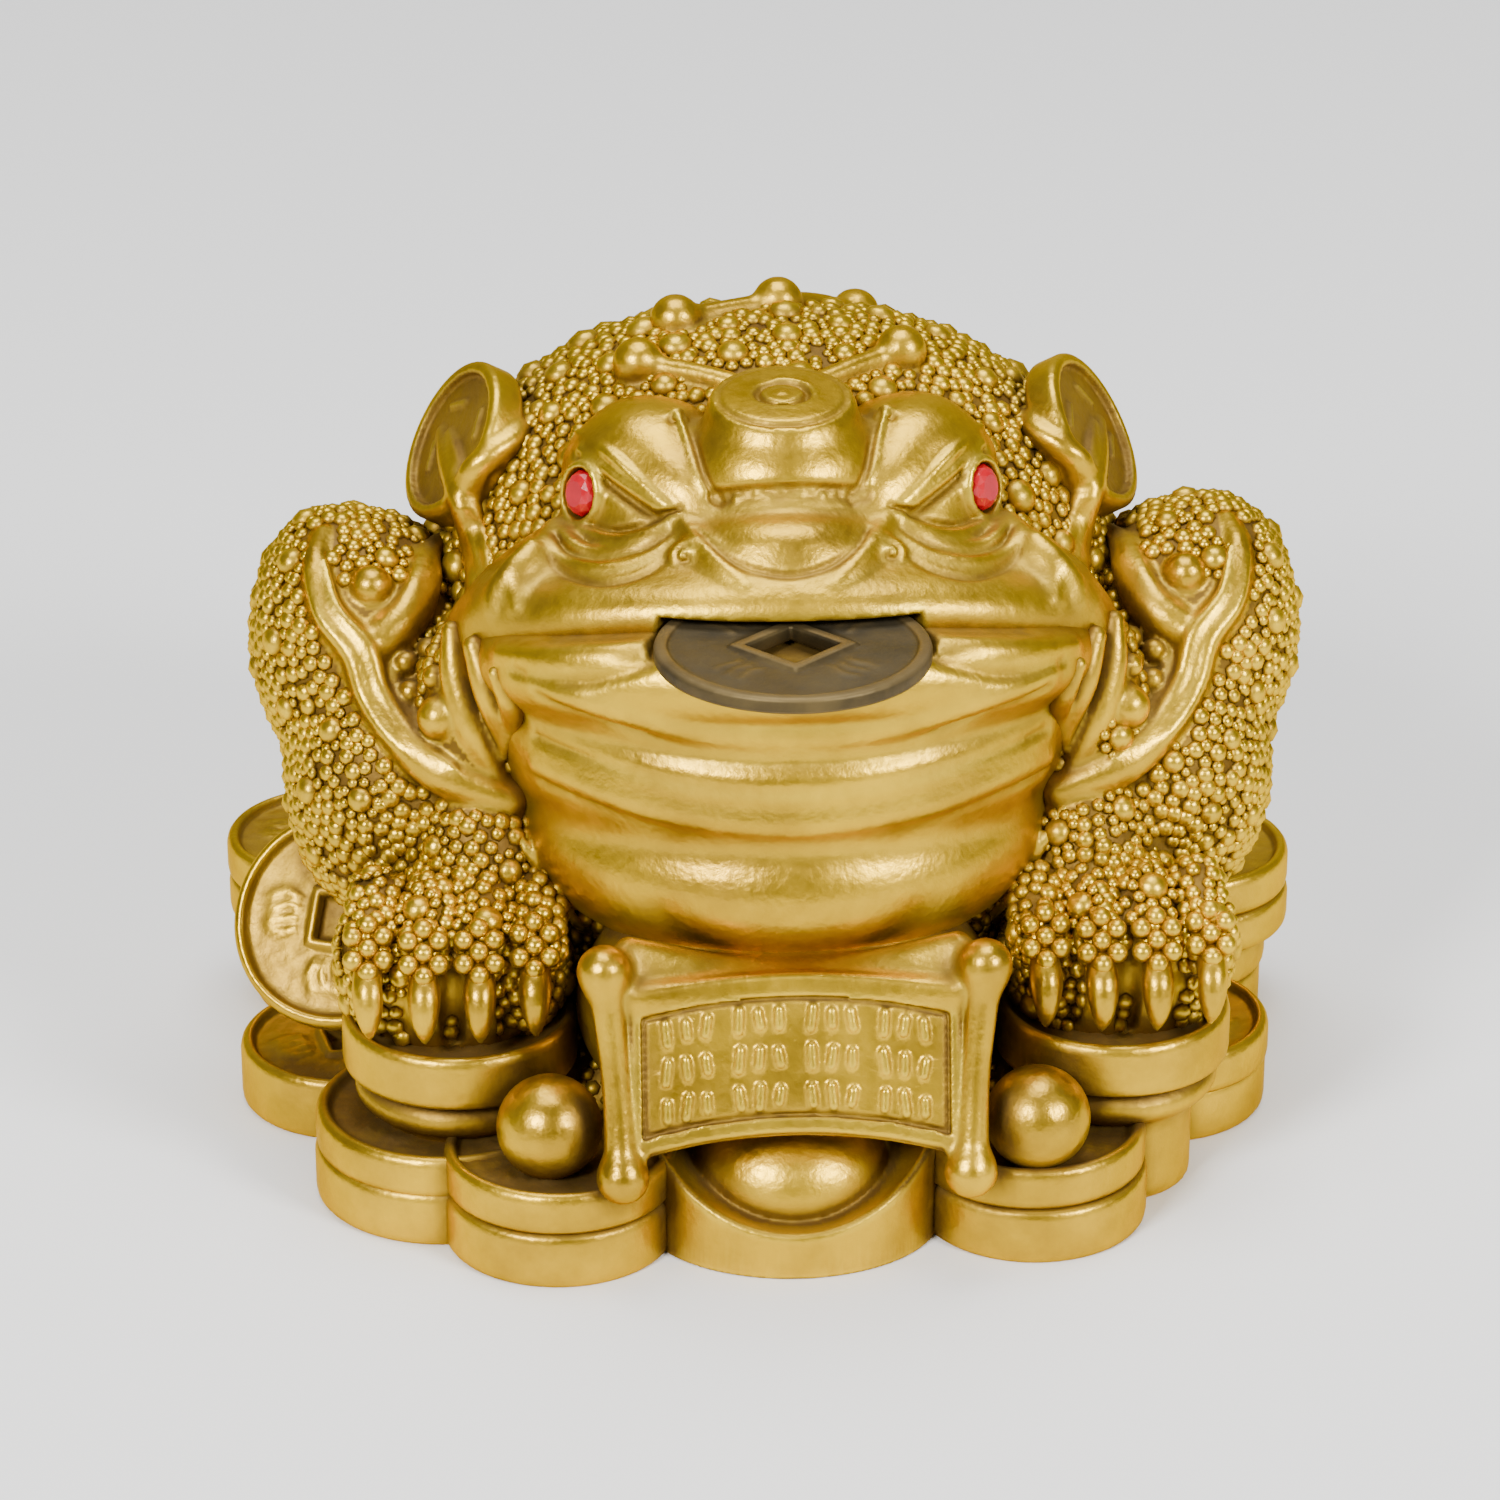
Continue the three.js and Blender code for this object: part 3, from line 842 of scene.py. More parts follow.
def shared_groups() -> dict[Group, bpy.types.NodeTree]:
    """Builds the shader groups once.

    Returns:
        The groups' trees, by kind.
    """
    kinds = (
        (Group.GRAIN, {"Scale": 1500.0, "Lumps": 0.5}, "Height", grain),
        (Group.WASH, {"Strength": 1.0, "Ragged": 0.3, "Scale": 420.0}, "Mask", crevice_wash),
        (Group.WEAR, {"Strength": 1.0, "Scale": 300.0}, "Mask", rubbed_edges),
        (Group.DUST, {"Strength": 0.2, "Scale": 160.0}, "Mask", settled_dust),
    )
    return {kind: group_tree(kind, takes, gives, build) for kind, takes, gives, build in kinds}


class Paintbox:
    """Makes each finish's material, with the shared groups placed in it."""

    def __init__(self) -> None:
        """Builds the shared groups."""
        self.groups = shared_groups()

    def start(self, name: str) -> tuple[bpy.types.Material, Graph, bpy.types.Node]:
        """Starts a material with its shader and output.

        Args:
            name: its name.

        Returns:
            The material, its graph and its Principled shader.
        """
        material = bpy.data.materials.new(name)
        material.use_nodes = True
        graph = Graph(material.node_tree)
        shader = graph.add("ShaderNodeBsdfPrincipled")
        graph.add("ShaderNodeOutputMaterial", {"Surface": shader.outputs[0]})
        return material, graph, shader

    def place(self, graph: Graph, kind: Group, **values: float) -> bpy.types.NodeSocket:
        """Places a shared group in a material and returns its output.

        Args:
            graph: the material's graph.
            kind: which group.
            values: its inputs, by name.

        Returns:
            The output.
        """
        node = graph.add("ShaderNodeGroup", node_tree=self.groups[kind])
        for name, value in values.items():
            node.inputs[name].default_value = value
        return node.outputs[0]


@dataclass(frozen=True)
class GoldPaint:
    """Satin gold paint on cast resin, with painted shade and a brown wash in the crevices, and painted
    highlight with wear on the edges.
    """

    name: str = "gold_paint"
    bright: Colour = (0.67, 0.412, 0.010, 1)
    deep: Colour = (0.42, 0.245, 0.011, 1)
    # the dark of the painted crevice shade and brown wash
    wash: Colour = (0.115, 0.058, 0.012, 1)
    # the brighter gold of rubbed wear and painted highlight on edges
    rubbed_and_highlit: Colour = (0.9, 0.66, 0.04, 1)
    edge: Colour = (0.95, 0.72, 0.12, 1)
    dust: Colour = (0.72, 0.66, 0.5, 1)
    roughness: float = 0.3
    grain: float = 0.14

    def material(self, paints: Paintbox) -> bpy.types.Material:
        """Builds the material, with the paintbox's shared groups.

        Args:
            paints: the paintbox.

        Returns:
            The material.
        """
        made, graph, shader = paints.start(self.name)
        cloud = graph.cloud(75.0, 8.0, 0.62)
        share = graph.add("ShaderNodeMapRange", {0: cloud, 1: 0.36, 2: 0.62}).outputs[0]
        base = graph.blend(share, self.deep, self.bright)
        # Edges painted brighter: rubbed wear and painted highlight.
        wear = paints.place(graph, Group.WEAR, Strength=0.8, Scale=300.0)
        base = graph.blend(wear, base, self.rubbed_and_highlit)
        # Painted shade: crevices and closed-in places are painted dark with the brown wash, and made
        # rougher and less metallic.
        wash = paints.place(graph, Group.WASH, Strength=1.0, Ragged=0.7, Scale=500.0)
        base = graph.blend(graph.math("MULTIPLY", wash, 0.92), base, self.wash)
        dust = paints.place(graph, Group.DUST, Strength=0.05, Scale=220.0)
        base = graph.blend(dust, base, self.dust)
        rough = self.roughness - 0.12
        for cause, much in ((graph.cloud(900.0, 2.0), 0.16), (cloud, 0.16), (wash, 0.22)):
            rough = graph.math("ADD", rough, graph.math("MULTIPLY", cause, much))
        metal = graph.math("SUBTRACT", 0.95, graph.math("MULTIPLY", wash, 0.25))
        shader.inputs["Specular Tint"].default_value = self.edge
        grain = paints.place(graph, Group.GRAIN, Scale=1500.0, Lumps=1.4)
        bump = graph.add("ShaderNodeBump", {"Height": grain, "Strength": 0.4, "Distance": self.grain * MM})
        graph.wire(shader, {
            "Base Color": base, "Roughness": rough, "Metallic": metal, "Normal": bump.outputs[0],
        })
        return made


@dataclass(frozen=True)
class AgedBronze:
    """A worn brown bronze cash coin."""

    name: str = "aged_bronze"
    bright: Colour = (0.115, 0.08, 0.028, 1)
    deep: Colour = (0.042, 0.03, 0.012, 1)
    rubbed_and_highlit: Colour = (0.24, 0.17, 0.07, 1)
    wash: Colour = (0.045, 0.04, 0.028, 1)

    def material(self, paints: Paintbox) -> bpy.types.Material:
        """Builds the material, with the paintbox's shared groups.

        Args:
            paints: the paintbox.

        Returns:
            The material.
        """
        made, graph, shader = paints.start(self.name)
        cloud = graph.cloud(180.0, 6.0)
        share = graph.add("ShaderNodeMapRange", {0: cloud, 1: 0.35, 2: 0.68}).outputs[0]
        base = graph.blend(share, self.deep, self.bright)
        wear = paints.place(graph, Group.WEAR, Strength=1.0, Scale=260.0)
        base = graph.blend(wear, base, self.rubbed_and_highlit)
        wash = paints.place(graph, Group.WASH, Strength=0.9, Ragged=0.8, Scale=380.0)
        base = graph.blend(wash, base, self.wash)
        rough = graph.math("ADD", 0.4, graph.math("MULTIPLY", cloud, 0.25))
        metal = graph.math("SUBTRACT", 0.8, graph.math("MULTIPLY", wash, 0.4))
        grain = paints.place(graph, Group.GRAIN, Scale=900.0, Lumps=1.2)
        bump = graph.add("ShaderNodeBump", {"Height": grain, "Strength": 0.5, "Distance": 0.12 * MM})
        graph.wire(shader, {
            "Base Color": base, "Roughness": rough, "Metallic": metal, "Normal": bump.outputs[0],
        })
        return made


@dataclass(frozen=True)
class RedGem:
    """A faceted red stone with a glossy face and a faint painted glow."""

    name: str = "red_gem"
    bright: Colour = (0.56, 0.004, 0.016, 1)
    deep: Colour = (0.26, 0.001, 0.006, 1)

    def material(self, paints: Paintbox) -> bpy.types.Material:
        """Builds the material, with the paintbox's shared groups.

        Args:
            paints: the paintbox.

        Returns:
            The material.
        """
        made, graph, shader = paints.start(self.name)
        cloud = graph.cloud(700.0, 3.0)
        base = graph.blend(cloud, self.deep, self.bright)
        rough = graph.math("ADD", 0.12, graph.math("MULTIPLY", cloud, 0.12))
        # The faint emission is a painted glow of the stone itself.
        graph.wire(shader, {"Base Color": base, "Roughness": rough, "Emission Color": base})
        for name, value in (("Coat Weight", 0.1), ("IOR", 1.4), ("Emission Strength", 0.05)):
            shader.inputs[name].default_value = value
        return made


@dataclass(frozen=True)
class PaleFloor:
    """The plain pale floor."""

    name: str = "pale_floor"
    tone: float = 0.86

    def material(self, paints: Paintbox) -> bpy.types.Material:
        """Builds the material.

        Args:
            paints: the paintbox.

        Returns:
            The material.
        """
        made, _, shader = paints.start(self.name)
        shader.inputs["Base Color"].default_value = (self.tone, self.tone, self.tone, 1)
        shader.inputs["Roughness"].default_value = 0.7
        return made


@dataclass
class Studio:
    """What every sub-assembly needs: the paints, the materials and the shade of the whole figure."""

    paints: Paintbox = field(default_factory=Paintbox)
    shade: Shade = field(default_factory=Shade)
    made: dict[str, bpy.types.Material] = field(default_factory=dict)

    def finish(self, finish: GoldPaint | AgedBronze | RedGem | PaleFloor) -> bpy.types.Material:
        """Returns a finish's material, made once.

        Args:
            finish: the finish.

        Returns:
            The material.
        """
        if finish.name not in self.made:
            self.made[finish.name] = finish.material(self.paints)
        return self.made[finish.name]

    def hand_over(self, piece: bpy.types.Object, slot: str, *nodes: str) -> None:
        """Lets a finished piece ride on the figure and stand for its solids.

        Args:
            piece: the piece.
            slot: the record's material slot; not used.
            nodes: the solids that it stands for.
        """
        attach(piece, "root")
        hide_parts(*nodes)
        triangles = sum(len(face.vertices) - 2 for face in piece.data.polygons)
        log.info("%s: %d triangles", piece.name, triangles)

    def carved(self, name: str, clay: Clay, keep: float) -> bpy.types.Object:
        """Turns a block of clay into a gold piece.

        Args:
            name: the piece's name.
            clay: the block.
            keep: the share of its faces that stays.

        Returns:
            The piece.
        """
        piece = mesh_of(name, *surface(clay))
        thin_out(piece, keep)
        self.shade.paint(piece, clay)
        piece.data.materials.append(self.finish(GoldPaint()))
        return piece


class Scatter:
    """A geometry node tree that sets one shape on many places, and ends as a plain mesh."""

    def __init__(self, name: str) -> None:
        """Starts the tree with its geometry sockets.

        Args:
            name: the tree's name.
        """
        self.tree = bpy.data.node_groups.new(name, "GeometryNodeTree")
        faces = self.tree.interface
        faces.new_socket("Geometry", in_out="INPUT", socket_type="NodeSocketGeometry")
        faces.new_socket("Geometry", in_out="OUTPUT", socket_type="NodeSocketGeometry")
        self.keys: dict[str, str] = {}

    def take(self, name: str, kind: str) -> None:
        """Adds a named input to the tree."""
        socket = self.tree.interface.new_socket(name, in_out="INPUT", socket_type=kind)
        self.keys[name] = socket.identifier

    def set_on(self, graph: Graph, given: Sockets, points: bpy.types.NodeSocket,
               turn: bpy.types.NodeSocket, size: bpy.types.NodeSocket) -> None:
        """Ends the tree: a shape on each point, made real and painted.

        Args:
            graph: the tree's graph.
            given: its inputs, with the shape and the paint.
            points: the output with the points.
            turn: the output with each shape's rotation.
            size: the output with each shape's scale.
        """
        shape = graph.add("GeometryNodeObjectInfo", {"Object": given["Shape"]})
        shapes = graph.add(
            "GeometryNodeInstanceOnPoints",
            {"Points": points, "Instance": shape.outputs["Geometry"], "Rotation": turn, "Scale": size},
        )
        real = graph.add("GeometryNodeRealizeInstances", {0: shapes.outputs[0]})
        painted = graph.add("GeometryNodeSetMaterial", {0: real.outputs[0], "Material": given["Paint"]})
        graph.add("NodeGroupOutput", {0: painted.outputs[0]})

    def run(self, name: str, carrier: bpy.types.Object, values: dict[str, object]) -> bpy.types.Object:
        """Runs the tree on a carrier and keeps the result as a plain mesh.

        Args:
            name: the new piece's name.
            carrier: the object whose mesh the tree reads.
            values: the inputs, by name.

        Returns:
            The new piece. The carrier is left as it was.
        """
        modifier = carrier.modifiers.new("scatter", "NODES")
        modifier.node_group = self.tree
        for key, value in values.items():
            modifier[self.keys[key]] = value
        mesh = plain_mesh(carrier, modifier)
        mesh.name = name
        piece = bpy.data.objects.new(name, mesh)
        bpy.context.scene.collection.objects.link(piece)
        return piece


class Setting:
    """Shapes set on listed places."""

    @staticmethod
    def tree() -> Scatter:
        """Builds the tree: a shape on each place, with its turn and size.

        Returns:
            The tree.
        """
        setting = Scatter("setting")
        setting.take("Shape", "NodeSocketObject")
        setting.take("Paint", "NodeSocketMaterial")
        graph = Graph(setting.tree)
        given = graph.add("NodeGroupInput").outputs
        turn = graph.add("GeometryNodeInputNamedAttribute", {"Name": "turn"}, data_type="FLOAT_VECTOR")
        size = graph.add("GeometryNodeInputNamedAttribute", {"Name": "size"}, data_type="FLOAT_VECTOR")
        angles = graph.add("FunctionNodeEulerToRotation", {0: turn.outputs["Attribute"]})
        setting.set_on(graph, given, given["Geometry"], angles.outputs[0], size.outputs["Attribute"])
        return setting

    @staticmethod
    def place(name: str, tree: Scatter, shape: bpy.types.Object, paint: bpy.types.Material,
              listed: Sequence[tuple[np.ndarray, Point, Point]]) -> bpy.types.Object:
        """Sets a shape on each place.

        Args:
            name: the new piece's name.
            tree: the tree.
            shape: the shape.
            paint: its material.
            listed: for each place the point, the turn in degrees and the scale.

        Returns:
            The shapes as one plain mesh.
        """
        places = mesh_of("places", np.array([at for at, _, _ in listed]), [])
        turns = places.data.attributes.new("turn", "FLOAT_VECTOR", "POINT")
        sizes = places.data.attributes.new("size", "FLOAT_VECTOR", "POINT")
        for each, (_, turn, size) in enumerate(listed):
            turns.data[each].vector = [math.radians(angle) for angle in turn]
            sizes.data[each].vector = size
        made = tree.run(name, places, {"Shape": shape, "Paint": paint})
        bpy.data.objects.remove(places)
        return made


@dataclass
class WartBed:
    """Round warts of one size range, scattered closely over the rough parts of a skin."""

    spacing: float = 1.5
    smallest: float = 0.62
    largest: float = 0.95
    seed: int = 7

    @staticmethod
    def wart(name: str, sides: int = 6, ring: int = 0) -> bpy.types.Object:
        """Makes a wart of radius 1 mm: a flattened ball with painted shade at its foot and a brighter
        crown, sunk in the skin.

        Args:
            name: its name.
            sides: its sides.
            ring: how many small beads lie round its foot.

        Returns:
            The wart.
        """
        rows = [(-0.4, 0.9), (0.12, 1.0), (0.6, 0.74)]
        balls = [(0.0, 0.0, 0.0, 1.0, sides)]
        for bead in range(ring):
            turn = 2 * math.pi * bead / ring
            balls.append((1.3 * math.cos(turn), 1.3 * math.sin(turn), 0.02, 0.44, 6))
        points, shades, faces = [], [], []
        for bx, by, bz, size, count in balls:
            start = len(points)
            for row, (height, radius) in enumerate(rows):
                for side in range(count):
                    angle = 2 * math.pi * (side + 0.5 * (row % 2)) / count
                    across, along = size * radius * math.cos(angle), size * radius * math.sin(angle)
                    points.append((bx + across, by + along, bz + size * height))
                    shades.append(float(np.clip(0.75 - 1.7 * height, 0, 1)))
            points.append((bx, by, bz + 0.86 * size))
            shades.append(0.0)
            faces.append(tuple(start + side for side in reversed(range(count))))
            for row in range(len(rows) - 1):
                for side in range(count):
                    a, b = start + row * count + side, start + row * count + (side + 1) % count
                    faces.append((a, b, b + count, a + count))
            top = start + (len(rows) - 1) * count
            faces += [(top + side, top + (side + 1) % count, len(points) - 1) for side in range(count)]
        made = mesh_of(name, np.array(points), faces)
        # Painted shade at the foot where it meets the skin; the crown is painted brighter, as rubbed wear
        # and painted highlight.
        set_values(made, "wash", np.array(shades))
        set_values(made, "wear", np.clip(0.3 - np.array(shades), 0, 1))
        return made

    @staticmethod
    def tree() -> Scatter:
        """Builds the tree: points on the rough skin, a wart on each, made real and painted.

        Returns:
            The tree.
        """
        bed = Scatter("wart_bed")
        for name, kind in {
            "Spacing": "NodeSocketFloat", "Smallest": "NodeSocketFloat", "Largest": "NodeSocketFloat",
            "Shape": "NodeSocketObject", "Paint": "NodeSocketMaterial", "Seed": "NodeSocketInt",
        }.items():
            bed.take(name, kind)
        graph = Graph(bed.tree)
        given = graph.add("NodeGroupInput").outputs
        rough = graph.add("GeometryNodeInputNamedAttribute", {"Name": "warty"}, data_type="FLOAT")
        spread = graph.add(
            "GeometryNodeDistributePointsOnFaces",
            {"Mesh": given["Geometry"], "Distance Min": given["Spacing"], "Density Max": 2.5e7,
             "Density Factor": rough.outputs["Attribute"], "Seed": given["Seed"]},
            distribute_method="POISSON",
        )
        size = graph.add(
            "FunctionNodeRandomValue",
            {2: given["Smallest"], 3: given["Largest"], "Seed": given["Seed"]},
            data_type="FLOAT",
        )
        bed.set_on(graph, given, spread.outputs["Points"], spread.outputs["Rotation"], size.outputs[1])
        return bed

    def grow(self, name: str, skin: bpy.types.Object, bed: Scatter, wart: bpy.types.Object,
             paint: bpy.types.Material) -> bpy.types.Object:
        """Grows the warts on a skin, where its value called warty is above zero.

        Args:
            name: the piece's name.
            skin: the skin.
            bed: the tree.
            wart: the wart's shape.
            paint: its material.

        Returns:
            The warts as one plain mesh.
        """
        return bed.run(name, skin, {
            "Spacing": self.spacing * MM, "Smallest": self.smallest, "Largest": self.largest,
            "Shape": wart, "Paint": paint, "Seed": self.seed,
        })


def join(name: str, parts: Iterable[bpy.types.Object]) -> bpy.types.Object:
    """Joins meshes into one object at the origin.

    Args:
        name: its name.
        parts: the objects, which go.

    Returns:
        The joined object.
    """
    parts = list(parts)
    with bpy.context.temp_override(
        active_object=parts[0], object=parts[0], selected_objects=parts, selected_editable_objects=parts
    ):
        bpy.ops.object.join()
    parts[0].name = parts[0].data.name = name
    return parts[0]


@dataclass
class Head:
    """The upper head: skull, brows, eyes, nose, forehead jewel, folds and lip."""

    pitch: float = 28.0
    hinge: Point = (0.0, -16.0, 38.5)
    eye_at: Point = (13.4, 3.0, 14.0)
    eye_radius: float = 6.2
    gem_look: Point = (0.74, -0.64, 0.2)
    gem_sink: float = 1.0
    cap: Point = (0.0, -14.9, 69.8)
    cap_turn: Point = (9.0, 0.0, 0.0)
    cap_top: float = 1.5
    cap_oval: float = 0.94
    step: float = 0.3
    keep: float = 0.5

    def on(self, x: float, ahead: float, up: float) -> np.ndarray:
        """Places a point given across, forward and up in the head's own directions.

        Args:
            x: how far to the toad's left.
            ahead: how far in front of the hinge.
            up: how far above it.

        Returns:
            The point.
        """
        pitch = math.radians(self.pitch)
        return toad((
            x,
            self.hinge[1] - ahead * math.cos(pitch) + up * math.sin(pitch),
            self.hinge[2] + ahead * math.sin(pitch) + up * math.cos(pitch),
        ))

    def mass(self, clay: Clay) -> None:
        """Presses on the large forms of the head.

        Args:
            clay: the block.
        """
        level = (-self.pitch, 0, 0)
        for ahead, up, radii, blend in (
            (0.5, 2.6, (28, 17.6, 7.2), 1.0), (-2, 7, (21.5, 16.5, 12), 4.0), (-4, 12, (9, 12, 10.5), 2.0),
            (9.5, 7.2, (9.2, 8.4, 4.4), 1.6), (5.0, 13.0, (7.6, 8.0, 7.6), 1.0),
        ):
            clay.add(Lump(self.on(0, ahead, up), radii, level), blend)
        clay.add(Lump((0, -15.4, 64.4), (9.2, 8.6, 6.6)), 1.6)
        clay.add(Puck(self.cap, 6.6, self.cap_top, self.cap_turn, 1.2, self.cap_oval), 1.6)
        clay.add(Lump(self.on(0, 11.4, 4.4), (8.4, 6.4, 4.0), level), 2.4)
        for flank in FLANKS:
            brow = (self.pitch - 40, flank * 22, flank * 20)
            x, ahead, up = self.eye_at
            clay.add(Lump(self.on(flank * x, ahead, up), (self.eye_radius,) * 3), 0.7)
            clay.add(Lump(self.on(flank * 11.4, 5.2, 12.2), (5.4,) * 3), 1.2)
            clay.add(Lump(self.on(flank * 12.6, 2.2, 17.6), (6.8, 7.6, 4.4), brow), 0.7)
            clay.add(Lump(self.on(flank * 11.2, 5.6, 16.2), (4.9, 7.4, 4.6), (12, 0, -flank * 26)), 1.6)
            clay.add(Lump(self.on(flank * 9.2, 9.0, 13.0), (3.0, 4.6, 3.2), (14, 0, -flank * 30)), 1.8)
            clay.add(Lump(self.on(flank * 7.7, 7.2, 13.4), (3.0, 5.0, 4.0)), 1.5)
            clay.add(Lump((flank * 22.4, -14.6, 53.0), (7.8, 8.4, 3.7), (-26, flank * 43, 0)), 3.0)
            clay.add(Lump((flank * 26.0, -16.2, 48.8), (4.4, 4.8, 3.0), (0, flank * 24, 0)), 2.0)
        shares = (-1, -0.75, -0.4, 0, 0.4, 0.75, 1)
        lip = [self.on(27.2 * s, 18.1 * math.sqrt(1.02 - s * s) - 0.9, 1.3) for s in shares]
        clay.add(Strand(lip, [2.0]), 2.6)

    def features(self, clay: Clay) -> None:
        """Carves the eyes, folds, curls, nose and jewel.

        Args:
            clay: the block.
        """
        upper = [(-18.2, 76.0), (-15.7, 74.2), (-13.2, 71.7), (-11.0, 69.5), (-9.9, 68.5)]
        lower = [(-18.0, 74.6), (-15.3, 72.3), (-12.3, 69.9), (-10.3, 68.2)]
        under = [(a - 0.3, b - 0.9) for a, b in lower]
        ridges = clay.twins(upper, [0.4, 0.66, 0.66, 0.4], 0.15)
        ridges += clay.twins(lower, [0.4, 0.62, 0.62, 0.4], 0.15)
        clay.cut_all(clay.twins(under, [0.3, 0.5, 0.4, 0.15], 0.1), 0.6)
        clay.add_all(ridges, 0.3)
        line = [(-17.8, 68.1), (-15.8, 67.0), (-13.3, 67.3), (-11.2, 68.4), (-9.6, 68.9)]
        clay.cut_all(clay.twins(line, [0.2, 0.42, 0.42, 0.2], 0.1), 0.35)
        folds = [
            [(-18.0, 67.2), (-15.1, 66.0), (-12.4, 66.4), (-10.3, 67.9)],
            [(-20.3, 68.0), (-19.2, 66.2), (-17.0, 64.9), (-13.5, 65.1), (-10.6, 66.7)],
            [(-21.0, 66.2), (-19.4, 64.2), (-16.3, 63.4), (-12.8, 64.1), (-10.1, 66.1)],
        ]
        for each, fold in enumerate(folds):
            clay.add_all(clay.twins(fold, [0.3, 0.8, 0.85, 0.3], 0.35), 0.6)
            low = [(a, b - 0.95 - 0.1 * each) for a, b in fold]
            clay.cut_all(clay.twins(low, [0.1, 0.32, 0.32, 0.1]), 0.5)
        for place, radius in (((-9.3, 64.6), 1.15), ((-9.9, 77.2), 0.8)):
            self.curl(clay, place, radius)
        side = [(-9.4, 67.6), (-7.6, 65.2), (-5.8, 63.2), (-4.2, 61.8)]
        clay.add_all(clay.twins(side, [0.5, 1.1, 1.0, 0.3], 0.4), 1.0)
        crest = [(-9.8, 77.6), (-8.9, 75.0), (-8.1, 72.1), (-6.9, 69.4)]
        clay.add_all(clay.twins(crest, [0.3, 0.42, 0.42, 0.3], 0.15), 0.3)
        clay.cut_all(clay.twins([(a + 0.55, b) for a, b in crest], [0.3], 0.0), 0.3)
        nose = [(-8.3, 67.2), (-6.9, 65.7), (-4.9, 63.9), (-2.1, 62.9)]
        nose += [(0.5, 62.75), (3.4, 63.7), (5.4, 65.3), (6.4, 67.0)]
        clay.cut(clay.draw(nose, [0.15, 0.3, 0.3, 0.3, 0.15]), 0.4)
        self.crease(clay)
        self.jewel(clay)
        for flank in FLANKS:
            self.gem_seat(clay, flank)
        sweeps = [
            [(-20.6, 67.6), (-22.2, 65.0), (-23.4, 62.4), (-23.6, 60.2)],
            [(-22.4, 65.8), (-24.0, 63.8), (-25.2, 61.8), (-25.8, 60.0)],
        ]
        for sweep in sweeps:
            clay.add_all(clay.twins(sweep, [0.3, 0.8, 0.8, 0.3], 0.4), 1.3)

    def curl(self, clay: Clay, place: Pair, radius: float) -> None:
        """Carves a small snail curl on each side.

        Args:
            clay: the block.
            place: its middle on the board.
            radius: its outer radius.
        """
        turns = []
        for t in np.linspace(0, 7, 12):
            reach = radius * (1 - 0.11 * t)
            turns.append((place[0] + reach * math.cos(t), place[1] + reach * math.sin(t)))
        clay.add_all(clay.knobs(place, (radius * 1.25,) * 3, 0.3), 0.4)
        clay.cut_all(clay.twins(turns, [0.26], 0.05), 0.15)

    def crease(self, clay: Clay) -> None:
        """Carves the knobbly crease between the forehead and the nose.

        Args:
            clay: the block.
        """
        places = [(x, 70.45 - 0.012 * x * x) for x in np.linspace(-6.6, 6.0, 9)]
        clay.cut(clay.draw(places, [0.5]), 0.7)
        for each, x in enumerate(np.linspace(-6.4, 5.8, 15)):
            up = 70.3 - 0.012 * x * x + 0.22 * math.sin(2.3 * each)
            clay.add(Lump(clay.seen(x, up, 0.1), (0.6, 0.5, 0.36 + 0.1 * math.cos(3.1 * each))), 0.25)

    def jewel(self, clay: Clay) -> None:
        """Carves the rings on the disc that caps the forehead.

        Args:
            clay: the block.
        """
        basis = turned(self.cap_turn)

        def ring(radius: float, start: float = 0.0, end: float = 2 * math.pi) -> Strand:
            """Lays a thin ring on the cap.

            Args:
                radius: its radius.
                start: the angle where it starts.
                end: the angle where it ends.

            Returns:
                The ring.
            """
            path = []
            for t in np.linspace(start, end, 25):
                place = (radius * math.cos(t), self.cap_oval * radius * math.sin(t), self.cap_top)
                path.append(np.array(self.cap) + basis @ np.array(place))
            return Strand(path, [0.3])

        clay.cut(ring(5.7), 0.25)
        clay.add(ring(1.4), 0.15)
        clay.add(ring(2.9, -1.9, 1.7), 0.15)
        clay.cut(ring(2.2), 0.2)
        clay.add(Lump(np.array(self.cap) + basis @ np.array((0, 0, 1.45)), (0.7, 0.7, 0.5)), 0.2)

    def gem_frame(self, flank: int) -> tuple[np.ndarray, np.ndarray]:
        """Finds where an eye gem sits.

        Args:
            flank: -1 for the toad's right, 1 for its left.

        Returns:
            The middle of its back and the unit vector that it looks along.
        """
        look = np.array([flank * self.gem_look[0], self.gem_look[1], self.gem_look[2]])
        look /= np.linalg.norm(look)
        x, ahead, up = self.eye_at
        return self.on(flank * x, ahead, up) + look * (self.eye_radius - self.gem_sink), look

    def gem_seat(self, clay: Clay, flank: int) -> None:
        """Raises the thin rim round a gem and sinks its seat.

        Args:
            clay: the block.
            flank: -1 for the toad's right, 1 for its left.
        """
        back, look = self.gem_frame(flank)
        tilt = (0.0, math.degrees(math.acos(look[2])), math.degrees(math.atan2(look[1], look[0])))
        clay.add(Puck(back + 0.55 * look, 2.95, 0.75, tilt, 0.45, 0.87), 0.5)
        clay.cut(Puck(back + 1.1 * look, 2.32, 1.4, tilt, 0.2, 0.83), 0.2)

    def build(self, studio: Studio) -> bpy.types.Object:
        """Builds and paints the head.

        Args:
            studio: the studio.

        Returns:
            The piece.
        """
        clay = Clay((-33, -40, 43), (33, 6, 86), self.step)
        self.mass(clay)
        self.features(clay)
        Mouth().carve(clay)
        clay.cut(Slab((0, 6, 60), (60, 1.2, 60)), 0.0)
        piece = studio.carved("toad_head", clay, self.keep)
        # The painted shade is weaker on the head.
        set_values(piece, "wash", 0.75 * get_values(piece, "wash"))
        return piece


